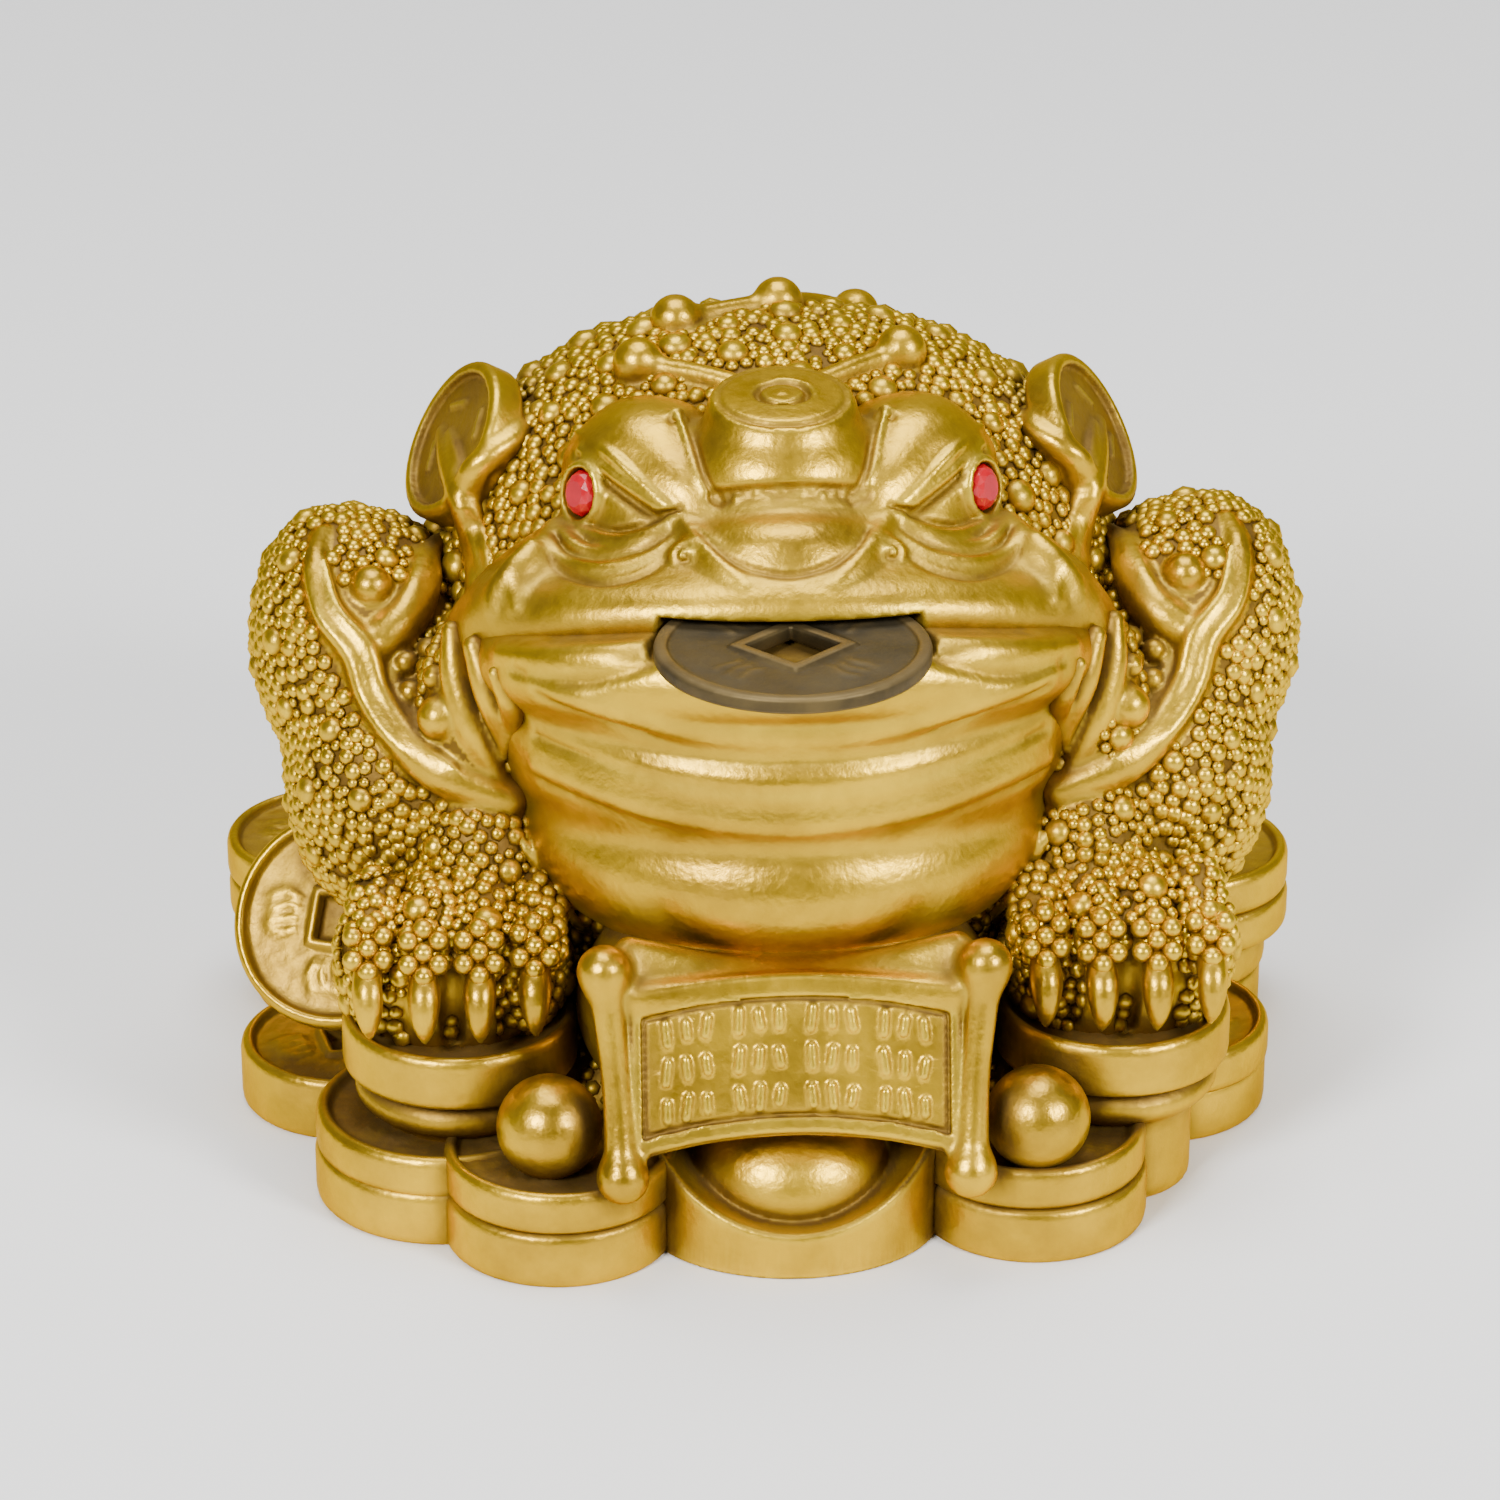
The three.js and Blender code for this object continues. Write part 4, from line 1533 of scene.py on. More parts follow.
@dataclass
class Mouth:
    """The slot that holds the loose coin, and the gape above it."""

    at: tuple[float, float, float] = (0.0, -36.0, 45.8)
    radius: float = 12.0
    thickness: float = 1.5
    gap: float = 0.3
    gape: float = 0.2

    def carve(self, clay: Clay) -> None:
        """Carves the slot out of a block.

        Args:
            clay: the block.
        """
        middle = toad(self.at)
        half = (self.thickness + 2 * self.gap + self.gape) / 2
        reach = self.radius + self.gap + 0.1
        middle[2] += half - self.gap
        clay.cut(Puck(middle, reach, half, edge=0.1), 0.25)
        clay.cut(Lump(middle - np.array([0, 2.0, 0.1]), (reach + 1.1, reach, 1.25 * half)), 0.2)


@dataclass
class Trunk:
    """The warty back with its seven stars, the belly, the throat's rolls and the one hind leg."""

    back: Lump = field(default_factory=lambda: Lump(toad((0, 5, 22)), (33.8, 33, 39.6), square=0.3))
    belly: Lump = field(default_factory=lambda: Lump(toad((0, -12, 23.2)), (25.8, 27.4, 12.8)))
    thigh: Lump = field(default_factory=lambda: Lump(toad((0, 37, 14)), (13.5, 10.5, 15)))
    stars: tuple[Pair, ...] = (
        (11.5, 0), (0.5, -8), (-12.4, -1), (-8.8, 6.5), (0.8, 11), (8.5, 20), (4.5, 30),
    )
    step: float = 0.42
    keep: float = 0.33

    def front(self, clay: Clay) -> None:
        """Presses on the belly and the throat's rolls.

        Args:
            clay: the block.
        """
        clay.add(self.belly, 1.4)
        clay.add(Lump(toad((0, -12.2, 33.6)), (27.2, 26, 8)), 1.0)
        clay.add(Lump(toad((0, -12.6, 38)), (27, 25, 8)), 0.8)
        clay.add(Lump((0, -12.2, 41.0), (27.0, 26.1, 15.0)), 1.6)
        clay.add(Lump(toad((0, -15.2, 39.3)), (27.6, 23.4, 5.6), (-15, 0, 0)), 1.6)
        lip = [(27.0, -16.5, 48.0), (22.5, -26.5, 49.6), (15, -33.0, 51.2), (0, -37.0, 52.2)]
        lip += [(-x, y, z) for x, y, z in reversed(lip[:-1])]
        clay.add(Strand(lip, [2.6, 2.6, 2.6, 2.4, 2.6, 2.6, 2.6]), 3.0)

    def hind_leg(self, clay: Clay) -> None:
        """Presses on the folded hind leg with its webbed toes.

        Args:
            clay: the block.
        """
        clay.add(self.thigh, 2.0)
        clay.add(Lump(toad((0, 44.5, 2.5)), (8.5, 6, 4.5)), 1.5)
        for angle in (-32, 0, 32):
            turn = math.radians(angle)
            tip = toad((11 * math.sin(turn), 40 + 9.6 * math.cos(turn), 1.0))
            root = toad((4.4 * math.sin(turn), 43, 3))
            clay.add(Strand([root, tip], [3.0, 1.5]), 1.2)
            clay.add(Lump(tip, (1.9, 1.9, 1.3)), 0.6)

    def star_forms(self) -> list[Form]:
        """Lists the seven stars and the ridges that join them.

        Returns:
            The forms.
        """
        def top(x: float, y: float, sink: float) -> np.ndarray:
            """Finds a point of the back's skin, or under it.

            Args:
                x: the place across.
                y: the place back.
                sink: how far under the skin.

            Returns:
                The point.
            """
            ax, ay, az = self.back.at
            rx, ry, rz = self.back.radii
            rise = math.sqrt(1 - ((x - ax) / rx) ** 2 - ((y - ay) / ry) ** 2)
            swell = self.back.square * ((x - ax) / rx) ** 2 * rise
            return np.array([x, y, az + rz * (rise + swell) - sink])

        forms: list[Form] = []
        for each, (x, y) in enumerate(self.stars):
            forms.append(Lump(top(x, y, -0.6), (2.35, 2.35, 2.35)))
            if each not in (0, 3):
                before = self.stars[each - 1]
                middle = ((x + before[0]) / 2, (y + before[1]) / 2)
                ridge = [top(*before, -0.4), top(*middle, -0.35), top(x, y, -0.4)]
                forms.append(Strand(ridge, [1.2, 1.0, 1.2]))
        return forms

    def build(self, studio: Studio) -> bpy.types.Object:
        """Builds and paints the trunk.

        Args:
            studio: the studio.

        Returns:
            The piece.
        """
        clay = Clay((-37, -44, 6), (37, 53, 77), self.step)
        clay.add(self.back)
        self.front(clay)
        self.hind_leg(clay)
        clay.add_all(self.star_forms(), 0.7)
        self.wrinkles(clay)
        Mouth().carve(clay)
        edge = [(-25.0, 40.6), (-22.8, 36.6), (-20.8, 32.6), (-18.0, 29.4)]
        edge += [(-13.1, 27.2), (-7.0, 26.4), (-0.2, 26.0)]
        rim = [studio.shade.whole.seen(*place, 0.1) for place in edge]
        rim += [point * (-1, 1, 1) for point in reversed(rim[:-1])]
        clay.add(Strand(rim, [0.5]), 0.4)
        clay.cut(Slab((0, 0, 2), (60, 60, 6)), 0.0)
        piece = studio.carved("toad_trunk", clay, self.keep)
        self.roughen(piece)
        return piece

    def wrinkles(self, clay: Clay) -> None:
        """Carves the throat's soft creases and the folds at the mouth's corners.

        Args:
            clay: the block.
        """
        jaw = [(-25.0, 55.9), (-21.0, 55.3), (-16.5, 55.5), (-12.9, 56.2)]
        clay.add_all(clay.twins(jaw, [0.6, 1.1, 1.0, 0.4], 0.5), 1.2)
        corner = [(-24.0, 54.2), (-21.5, 53.2), (-18.4, 53.0), (-15.0, 53.7), (-12.5, 54.5)]
        clay.cut_all(clay.twins(corner, [0.1, 0.3, 0.3, 0.2, 0.1], -0.05), 0.9)
        for side, middle in ((51.6, 46.6), (47.6, 42.4), (43.6, 38.2)):
            places = [(x, middle + (side - middle) * (x / 21) ** 2) for x in np.linspace(-22, 22, 13)]
            clay.cut(clay.draw(places, [0.4, 0.2, 0.16, 0.2, 0.4], -0.05), 0.8)
            above = [(x, y + 1.1) for x, y in places]
            clay.add(clay.draw(above, [0.3, 0.8, 0.9, 0.8, 0.3], 0.6), 1.6)

    def roughen(self, piece: bpy.types.Object) -> None:
        """Marks where warts grow on the back and paints shade on the skin between them.

        Args:
            piece: the trunk.
        """
        points, _ = corners(piece)
        x, y, z = points.T
        on_back = np.abs(self.back.distance(x, y, z)) < 0.9
        rough = on_back & (z > 15) & (y < 46)
        for form in self.star_forms():
            rough &= form.distance(x, y, z) > 0.55
        near = self.thigh.distance(x, y, z)
        thigh = (y > 30) & (np.abs(near) < 0.8) & (z > 18)
        rough = ((rough & (near > 0.4)) | thigh).astype(np.float32)
        set_values(piece, "warty", rough)
        # Painted shade: dark on the skin between the warts, halved on the belly and throat, and none on the
        # lip seen through the coin's hole.
        smooth = (y < -20) & (z < 54)
        wash = get_values(piece, "wash") * np.where(smooth, 0.5, 1.0)
        wash[(y < -36) & (z > 53)] = 0
        set_values(piece, "wash", np.maximum(wash, 0.95 * rough))


@dataclass
class FrontLeg:
    """A front leg: high elbow, forearm and paw, with flames, beads and claws."""

    flank: int
    elbow: Lump = field(default_factory=lambda: Lump(toad((-37.8, -2.5, 33.2)), (9.6, 13, 12.4)))
    forearm: Lump = field(default_factory=lambda: Lump(toad((-35.2, -10, 23.5)), (9.6, 12, 13)))
    paw: Lump = field(default_factory=lambda: Lump(toad((-30, -24.4, 11.6)), (10.2, 10.4, 8.6)))
    claws: int = 4
    claw_pitch: float = 4.9
    step: float = 0.33
    keep: float = 0.48

    def own(self, form: Lump) -> Lump:
        """Mirrors a lump of the toad's right leg to this flank."""
        x, y, z = form.at
        return Lump((-self.flank * x, y, z), form.radii)

    def mass(self, clay: Clay) -> None:
        """Presses on the leg's large forms.

        Args:
            clay: the block.
        """
        clay.add(self.own(self.elbow), 1.0)
        clay.add(self.own(Lump(toad((-40.4, -2.5, 34.9)), (7.4, 11, 11.2))), 1.0)
        clay.add(self.own(self.forearm), 2.0)
        clay.add(self.own(self.paw), 2.0)
        clay.add(self.own(Lump(toad((-27.2, -18.0, 17.0)), (7.0, 9.5, 12.5))), 2.5)
        clay.add(self.own(Lump(toad((-27.6, -15.0, 31.0)), (5.5, 8.0, 10.0))), 2.0)

    def flames(self, clay: Clay) -> list[Form]:
        """Lists the flames on the leg's front, with their ridges, and the two large beads.

        Args:
            clay: the leg's block, which they lie on.

        Returns:
            The forms.
        """
        drawn: list[tuple[list[Pair], list[float], float]] = [
            ([(-24.6, 42.2), (-29.9, 44.6), (-33.8, 48.2), (-36.1, 52.3), (-37.2, 56.3), (-39.7, 60.0),
              (-40.6, 64.4), (-40.0, 67.4)],
             [1.7, 2.1, 1.9, 1.8, 1.9, 1.6, 1.3, 0.6], 0.3),
            ([(-36.9, 56.3), (-33.6, 58.9), (-31.8, 62.3), (-31.2, 65.0), (-29.4, 67.2)],
             [1.7, 2.1, 1.9, 1.3, 0.4], 0.3),
            ([(-30.9, 47.3), (-33.6, 50.6), (-34.3, 54.2), (-32.9, 57.2)], [0.7, 0.7, 0.7, 0.6], 0.1),
        ]
        forms: list[Form] = [clay.draw(places, radii, sink, self.flank) for places, radii, sink in drawn]
        for places, _, _ in drawn[:2]:
            for shift in (-0.75, 0.75):
                line = [(across + shift, up + 0.5 * shift) for across, up in places[1:-1]]
                forms.append(clay.draw(line, [0.2, 0.7, 0.7, 0.15], -1.15, self.flank))
        for place, radius in (((-36.0, 62.3), 1.95), ((-30.5, 50.0), 2.0)):
            forms.append(Lump(clay.seen(*place, 0.2, self.flank), (radius,) * 3))
        return forms

    def beads(self, clay: Clay) -> list[Form]:
        """Lists the beads in the bay between the two flames."""
        places = ((-31.2, 56.4), (-33.2, 55.2), (-30.8, 53.8), (-32.9, 52.4))
        return [Lump(clay.seen(*place, -0.2, self.flank), (1.15,) * 3) for place in places]

    def spikes(self, whole: Clay) -> list[Form]:
        """Lists the pointed ends of the ribbons beside the jaw, which lie on the whole figure.

        Args:
            whole: the block that holds the whole figure.

        Returns:
            The forms.
        """
        routes = [
            ([(-29.2, 58.0), (-28.9, 53.6), (-27.6, 48.6), (-25.0, 43.4)], [1.0, 1.5, 1.3, 0.4]),
            ([(-27.4, 56.6), (-26.2, 52.4), (-25.0, 48.8), (-24.9, 46.0)], [1.0, 1.4, 1.2, 0.3]),
            ([(-25.6, 54.0), (-24.4, 51.4), (-24.1, 49.2), (-24.9, 47.0)], [0.7, 1.1, 0.9, 0.3]),
        ]
        return [whole.draw(route, radii, 0.2, self.flank) for route, radii in routes]

    def talons(self, clay: Clay) -> None:
        """Presses on the knuckles and the claws.

        Args:
            clay: the block.
        """
        for claw in range(self.claws):
            share = claw - (self.claws - 1) / 2
            x = -self.flank * (self.paw.at[0] + share * self.claw_pitch)
            y = -34.5 + 0.55 * share * share
            knuckle = toad((x, y + 2.6, 16.2))
            clay.add(Strand([toad((x * 0.98, y + 7, 19)), knuckle], [2.2, 2.4]), 0.8)
            bend = ((0.5, 15.6), (-1.7, 13.9), (-2.5, 11.7), (-1.8, 9.6))
            talon = [toad((x, y + low, z)) for low, z in bend]
            clay.add(Strand(talon, [1.3, 1.5, 1.05, 0.3]), 0.3)
            if claw:
                between = x + 0.5 * self.flank * self.claw_pitch
                gap = [toad((between, y + low, z)) for low, z in ((1.6, 17.5), (-0.4, 13.5), (0.6, 9.0))]
                clay.cut(Strand(gap, [0.7, 1.25, 1.0]), 0.6)

    def knuckles(self) -> list[tuple[np.ndarray, Point, Point]]:
        """Lists the beads on the knuckles: six round one, above each claw.

        Returns:
            For each bead its point, its turn in degrees and its scale.
        """
        listed = []
        for claw in range(self.claws):
            share = claw - (self.claws - 1) / 2
            x = -self.flank * (self.paw.at[0] + share * self.claw_pitch)
            middle = toad((x, -34.4 + 0.55 * share**2, 17.4))
            for each in range(7):
                turn = 2 * math.pi * (each + 0.5) / 6
                out = 0.0 if each == 6 else 1.55
                rise = out * math.sin(turn)
                off = np.array([out * math.cos(turn), 0.9 * rise, 1.05 * rise])
                listed.append((middle + off, (62.0, 0.0, 0.0), (0.95, 0.95, 1.1)))
        return listed

    def build(self, studio: Studio) -> bpy.types.Object:
        """Builds and paints the leg.

        Args:
            studio: the studio.

        Returns:
            The piece.
        """
        clay = flank_block(self.flank, (17, -43, 11), (52.5, 16, 58), self.step)
        self.mass(clay)
        smooth = self.flames(clay) + self.spikes(studio.shade.whole)
        clay.add_all(smooth, 0.6)
        beads = self.beads(clay)
        clay.add_all(beads, 0.1)
        smooth += beads
        self.talons(clay)
        piece = studio.carved(f"leg_{SIDES[self.flank]}", clay, self.keep)
        self.roughen(piece, smooth)
        return piece

    def roughen(self, piece: bpy.types.Object, smooth: Sequence[Form]) -> None:
        """Marks where warts grow on the leg and paints shade on the skin between them.

        Args:
            piece: the leg.
            smooth: the forms where none grow.
        """
        points, _ = corners(piece)
        x, y, z = points.T
        rough = (z > HEAP_TOP + 8) & ~((y < -33.2) & (z < 28.2))
        for form in smooth:
            rough &= form.distance(x, y, z) > 0.45
        rough = rough.astype(np.float32)
        set_values(piece, "warty", rough)
        # Painted shade on the skin between the warts.
        set_values(piece, "wash", np.maximum(get_values(piece, "wash"), rough))


@dataclass
class ShoulderCoin:
    """The coin that stands at a shoulder, with its ribbon beside the cheek."""

    flank: int
    radius: float = 7.7
    thickness: float = 3.4
    step: float = 0.28
    keep: float = 0.6

    def own(self, point: Point) -> np.ndarray:
        """Mirrors a point of the toad's right to this flank."""
        return toad((-self.flank * point[0], point[1], point[2]))

    def mass(self, clay: Clay) -> None:
        """Presses on the coin and its ribbon.

        Args:
            clay: the block.
        """
        turn = (0.0, self.flank * 60.0, -self.flank * 18.0)
        out = turned(turn)[:, 2]
        middle = self.own((-27, 2.5, 50.5)) + out * self.thickness / 2
        clay.add(Puck(middle, self.radius, self.thickness / 2, turn, 0.7), 0.3)
        clay.cut(Puck(middle + out * self.thickness / 2, self.radius - 1.3, 0.8, turn, 0.3), 0.3)
        floor = middle + out * (self.thickness / 2 - 0.75)
        for each in range(4):
            angle = math.radians(90 * each + 45)
            off = turned(turn) @ np.array([3.9 * math.cos(angle), 3.9 * math.sin(angle), 0])
            wide = turned(turn) @ np.array([1.3 * math.cos(angle + 1.3), 1.3 * math.sin(angle + 1.3), 0])
            clay.add(Strand([floor + off - wide, floor + off + wide], [0.35]), 0.3)

    def ribbon(self, clay: Clay, limbs: Clay) -> None:
        """Lays the ribbon over the coin's face, over its rim and down behind the cheek.

        Args:
            clay: the coin's block.
            limbs: the back and the limbs, which the ribbon lies on.
        """
        main = [(-29.6, 76.2), (-29.0, 73.6), (-28.2, 70.2), (-27.3, 66.4), (-26.9, 62.8)]
        main += [(-27.3, 59.4), (-28.6, 56.6)]
        branch = [(-22.4, 77.4), (-23.6, 75.6), (-25.8, 74.0), (-27.4, 72.4), (-27.6, 69.2)]
        branch += [(-26.6, 65.2), (-26.3, 61.2)]
        for route, thick in ((main, 1.2), (branch, 1.1)):
            radii = [0.5 * thick, *[thick] * (len(route) - 2), 0.2]
            clay.add(limbs.draw(route, radii, 0.1, self.flank), 0.6)
            ahead = [(across + 0.75, up) for across, up in route]
            clay.add(limbs.draw(ahead, [0.8 * radius for radius in radii], 0.1, self.flank), 0.4)

    def build(self, studio: Studio) -> bpy.types.Object:
        """Builds and paints the coin.

        Args:
            studio: the studio.

        Returns:
            The piece.
        """
        clay = flank_block(self.flank, (18, -24, 40), (41, 16, 72), self.step)
        self.mass(clay)
        self.ribbon(clay, studio.shade.limbs)
        return studio.carved(f"shoulder_coin_{SIDES[self.flank]}", clay, self.keep)


@dataclass
class Scroll:
    """The open scroll between its two rods, with rows of strokes where the writing was."""

    width: float = 29.0
    height: float = 14.5
    thickness: float = 5.0
    arch: float = 50.0
    hem: float = 2.0
    relief: float = 0.6
    lean: float = -18.0
    rows: int = 3
    strokes: int = 12
    groove: float = 0.24
    step: float = 0.24
    keep: float = 0.38

    def on(self, x: float, y: float, z: float) -> np.ndarray:
        """Places a point given in the scroll's own leaning frame."""
        foot = np.array([0, -HEAP_HALF - 4.6, HEAP_TOP + 4.5])
        return foot + turned((self.lean, 0, 0)) @ np.array([x, y, z])

    def fall(self, x: float) -> float:
        """Gives how far the arched sheet has dropped at a place across it."""
        return math.sqrt(self.arch**2 - x * x) - self.arch

    def sheet(self, low: float, high: float, front: float, back: float, half: float, edge: float) -> Slab:
        """Cuts a piece of the arched sheet.

        Args:
            low: its lower edge, along the sheet.
            high: its upper edge.
            front: its front face.
            back: its back face.
            half: half its width.
            edge: how round its edges are.

        Returns:
            The form.
        """
        halves = (half, (back - front) / 2, (high - low) / 2)
        at = self.on(0, (front + back) / 2, 0)
        return Slab(at, halves, (self.lean, 0, 0), edge, self.arch, (low + high) / 2)

    def mass(self, clay: Clay) -> None:
        """Presses on the sheet, its cloth-like upper edge and the rods.

        Args:
            clay: the block.
        """
        clay.add(Lump((0, 13 - HEAP_HALF, HEAP_TOP + 9), (19, 13.5, 13)), 0.5)
        back = self.thickness - self.relief
        clay.add(self.sheet(0, self.height, -self.relief, back, self.width / 2, 0.5), 0.6)
        for end, middle, back_by in ((12.6, 13.0, 1.0), (14.6, 13.4, 2.2), (16.4, 13.8, 2.6)):
            band = [self.on(-14.4, back_by - 0.6, end), self.on(0, back_by + 0.8, middle)]
            band.append(self.on(14.4, back_by - 0.6, end))
            clay.add(Strand(band, [1.2]), 1.4)
        for flank in FLANKS:
            x = flank * (self.width / 2 + 0.75)
            ends = [self.on(x, 0, -3.4), self.on(x + flank * 1.4, -0.3, 14.9)]
            middle = self.on(x + flank * 0.45, 0, 5.2)
            clay.add(Strand([ends[0], middle, ends[1]], [1.6, 1.3, 1.6]), 0.5)
            clay.add(Lump(ends[1], (2.2, 2.2, 2.2)), 1.6)
            clay.add(Lump(ends[0], (2.3, 2.3, 2.3)), 1.0)

    def relief_forms(self, clay: Clay) -> None:
        """Sinks the panel and raises the rows of strokes in it.

        Args:
            clay: the block.
        """
        half = self.width / 2 - 1.2
        low, high = self.hem, self.height - 2.2
        clay.cut(self.sheet(low, high, -3, -0.3, half, 0.2), 0.15)
        clay.cut(self.sheet(-0.4, 0.35, -2, 0.2, self.width / 2 - 1.6, 0.2), 0.4)
        for level in (low, high):
            line = [self.on(x, -0.3, level + self.fall(x)) for x in np.linspace(-half, half, 9)]
            clay.cut(Strand(line, [self.groove]), 0.15)
        for side in (-half, half):
            line = [self.on(side, -0.3, level + self.fall(side)) for level in (low, high)]
            clay.cut(Strand(line, [self.groove]), 0.15)
        row_height = (high - low) / self.rows
        pitch = (2 * half - 5.6) / self.strokes
        for row in range(self.rows):
            for each in range(self.strokes):
                x = (each - (self.strokes - 1) / 2) * pitch + (each // 3 - 1.5) * 1.1
                z = low + row_height * (row + 0.5) + self.fall(x)
                tall = 0.5 * row_height * (0.44 + 0.1 * math.sin(2.1 * each + row))
                slant = 0.12 * math.sin(1.7 * each + 2 * row)
                ends = [self.on(x - slant, -0.25, z - tall), self.on(x + slant, -0.25, z + tall)]
                clay.add(Strand(ends, [0.46]), 0.1)

    def build(self, studio: Studio) -> bpy.types.Object:
        """Builds and paints the scroll.

        Args:
            studio: the studio.

        Returns:
            The piece.
        """
        clay = Clay((-20.5, -52, 5), (20.5, -22, 36), self.step)
        self.mass(clay)
        self.relief_forms(clay)
        return studio.carved("scroll", clay, self.keep)


@dataclass
class Ingot:
    """The boat-shaped ingot in front, with its egg."""

    half_length: float = 13.4
    half_width: float = 11.0
    waist: float = 4.4
    trough: float = 16.0
    step: float = 0.28
    keep: float = 0.5

    def mass(self, clay: Clay) -> None:
        """Presses on the hull and the egg.

        Args:
            clay: the block.
        """
        ahead = HEAP_HALF - 5
        height = HEAP_TOP + 1
        oval = self.half_width / self.half_length
        middle = (0, -ahead, height / 2 - 1)
        clay.add(Puck(middle, self.half_length, height / 2 + 1, edge=0.9, stretch=oval), 0.3)
        hollow = [(0, y - ahead, self.waist + self.trough) for y in (-20, 20)]
        clay.cut(Strand(hollow, [self.trough]), 0.8)
        clay.add(Lump((0, -0.4 - ahead, 5.6), (9.0, 8.2, 6.5)), 0.1)

    def build(self, studio: Studio) -> bpy.types.Object:
        """Builds and paints the ingot.

        Args:
            studio: the studio.

        Returns:
            The piece.
        """
        clay = Clay((-15, -49, -1.2), (15, -23, 13.5), self.step)
        self.mass(clay)
        clay.cut(Slab((0, -36, -5), (30, 30, 5)), 0.0)
        return studio.carved("ingot", clay, self.keep)


def coin_place(share: float, inset: float, turn: float, radius: float, half_hole: float) -> Pair:
    """Gives a place on a coin's face, between its square hole and its round edge.

    Args:
        share: how far from the hole to the edge.
        inset: extra width of the hole's border.
        turn: the angle round the coin, as a share of a whole turn.
        radius: the coin's radius.
        half_hole: half the hole's side.

    Returns:
        The place.
    """
    angle = 2 * math.pi * turn
    square = (half_hole + inset) / max(abs(math.cos(angle)), abs(math.sin(angle)))
    reach = square + (radius - square) * share
    return reach * math.cos(angle), reach * math.sin(angle)


@dataclass(frozen=True)
class Relief:
    """A coin's worn relief: a rough ground, and blurred strokes at the four sides of its hole.

    The ground holds its height and the numbers of its two waves. A stroke's reach is the distance of
    its middle from the coin's, half its length and how far its ends fade.
    """

    ground: tuple[float, ...]
    count: int
    pitch: float
    wave: float
    drift: float
    width: float
    reach: tuple[float, float, float]
    rise: float

    def height(self, x: float, y: float) -> float:
        """Gives the height of the relief at a place.

        Args:
            x: the place, across.
            y: the place, along.

        Returns:
            The height.
        """
        much, a, b, c, d, e = self.ground
        middle, half, fade = self.reach
        total = much * math.sin(a * x + b * math.sin(c * y)) * math.sin(d * y + e)
        for quarter in range(4):
            angle = quarter * math.pi / 2
            u = x * math.cos(angle) + y * math.sin(angle)
            v = -x * math.sin(angle) + y * math.cos(angle)
            for each in range(self.count):
                place = (each - (self.count - 1) / 2) * self.pitch
                wave = self.wave * math.sin(2 * u + each + self.drift * quarter)
                across = (v - place - wave) / self.width
                along = max(abs(u - middle) - half, 0) / fade
                total += self.rise * math.exp(-across * across - along * along)
        return total


@dataclass
class CashCoin:
    """A thick cast coin: raised rims, a sunk rough face and a square hole."""

    radius: float = 10.4
    recess: float = 0.8
    hole: float = 2.1
    sides: int = 80
    relief: Relief = Relief(
        (0.07, 2.9, 1.3, 2.1, 2.6, 0.8), 4, pitch=1.15, wave=0.25, drift=0.0, width=0.36,
        reach=(5.6, 1.25, 0.4), rise=0.34,
    )

    def rows(self, thickness: float, faced: bool) -> list[tuple[float, float, float]]:
        """Lists the coin's profile as share from hole to edge, inset and height.

        Args:
            thickness: the coin's thickness.
            faced: whether its upper face is worked.

        Returns:
            The rows from the middle of the upper face round to the lower one.
        """
        top = thickness
        rows = []
        if faced:
            floor = top - self.recess
            border = ((-0.6, -0.9), (0.0, -0.8), (0.0, 0.25), (0.35, 0.4), (0.75, 0.35), (0.95, 0.0))
            rows += [(0.0, inset, floor + rise) for inset, rise in border]
            rows += [(share, 0.0, floor) for share in np.linspace(0.18, 0.8, 11)]
            rows += [(0.835, 0.0, floor + 0.1), (0.86, 0.0, top - 0.3), (0.885, 0.0, top - 0.05)]
            rows.append((0.92, 0.0, top))
        else:
            rows += [(0.1, 0.0, top), (0.6, 0.0, top), (0.9, 0.0, top)]
        rows += [(0.955, 0.0, top - 0.12), (0.985, 0.0, top - 0.45), (1.0, 0.0, top - 1.0)]
        rows += [(1.0, 0.0, 0.9), (0.99, 0.0, 0.35), (0.965, 0.0, 0.06), (0.92, 0.0, 0.0), (0.1, 0.0, 0.0)]
        return rows

    def make(self, name: str, thickness: float, faced: bool) -> bpy.types.Object:
        """Makes the coin, lying on the origin.

        Args:
            name: its name.
            thickness: the coin's thickness.
            faced: whether its upper face is worked.

        Returns:
            The coin.
        """
        points, wash = [], []
        rows = self.rows(thickness, faced)
        for share, inset, height in rows:
            for side in range(self.sides):
                x, y = coin_place(share, inset, (side + 0.5) / self.sides, self.radius, self.hole)
                sunk = faced and abs(height - (thickness - self.recess)) < 1e-6
                rise = self.relief.height(x, y) if sunk and 0.1 < share < 0.82 else 0.0
                points.append((x, y, height + rise))
                # Painted shade in the coin's sunk field, lighter on the raised strokes.
                low = faced and height < thickness - 0.4 and share < 0.87
                wash.append(np.clip(0.25 - 0.8 * rise, 0, 1) if low else 0.0)
        count = len(rows)
        faces = []
        for row in range(count - 1):
            for side in range(self.sides):
                a, b = row * self.sides + side, row * self.sides + (side + 1) % self.sides
                faces.append((a, a + self.sides, b + self.sides, b))
        faces.append(tuple(range(self.sides)))
        faces.append(tuple((count - 1) * self.sides + side for side in reversed(range(self.sides))))
        made = mesh_of(name, np.array(points), faces)
        set_values(made, "wash", np.array(wash))
        return made


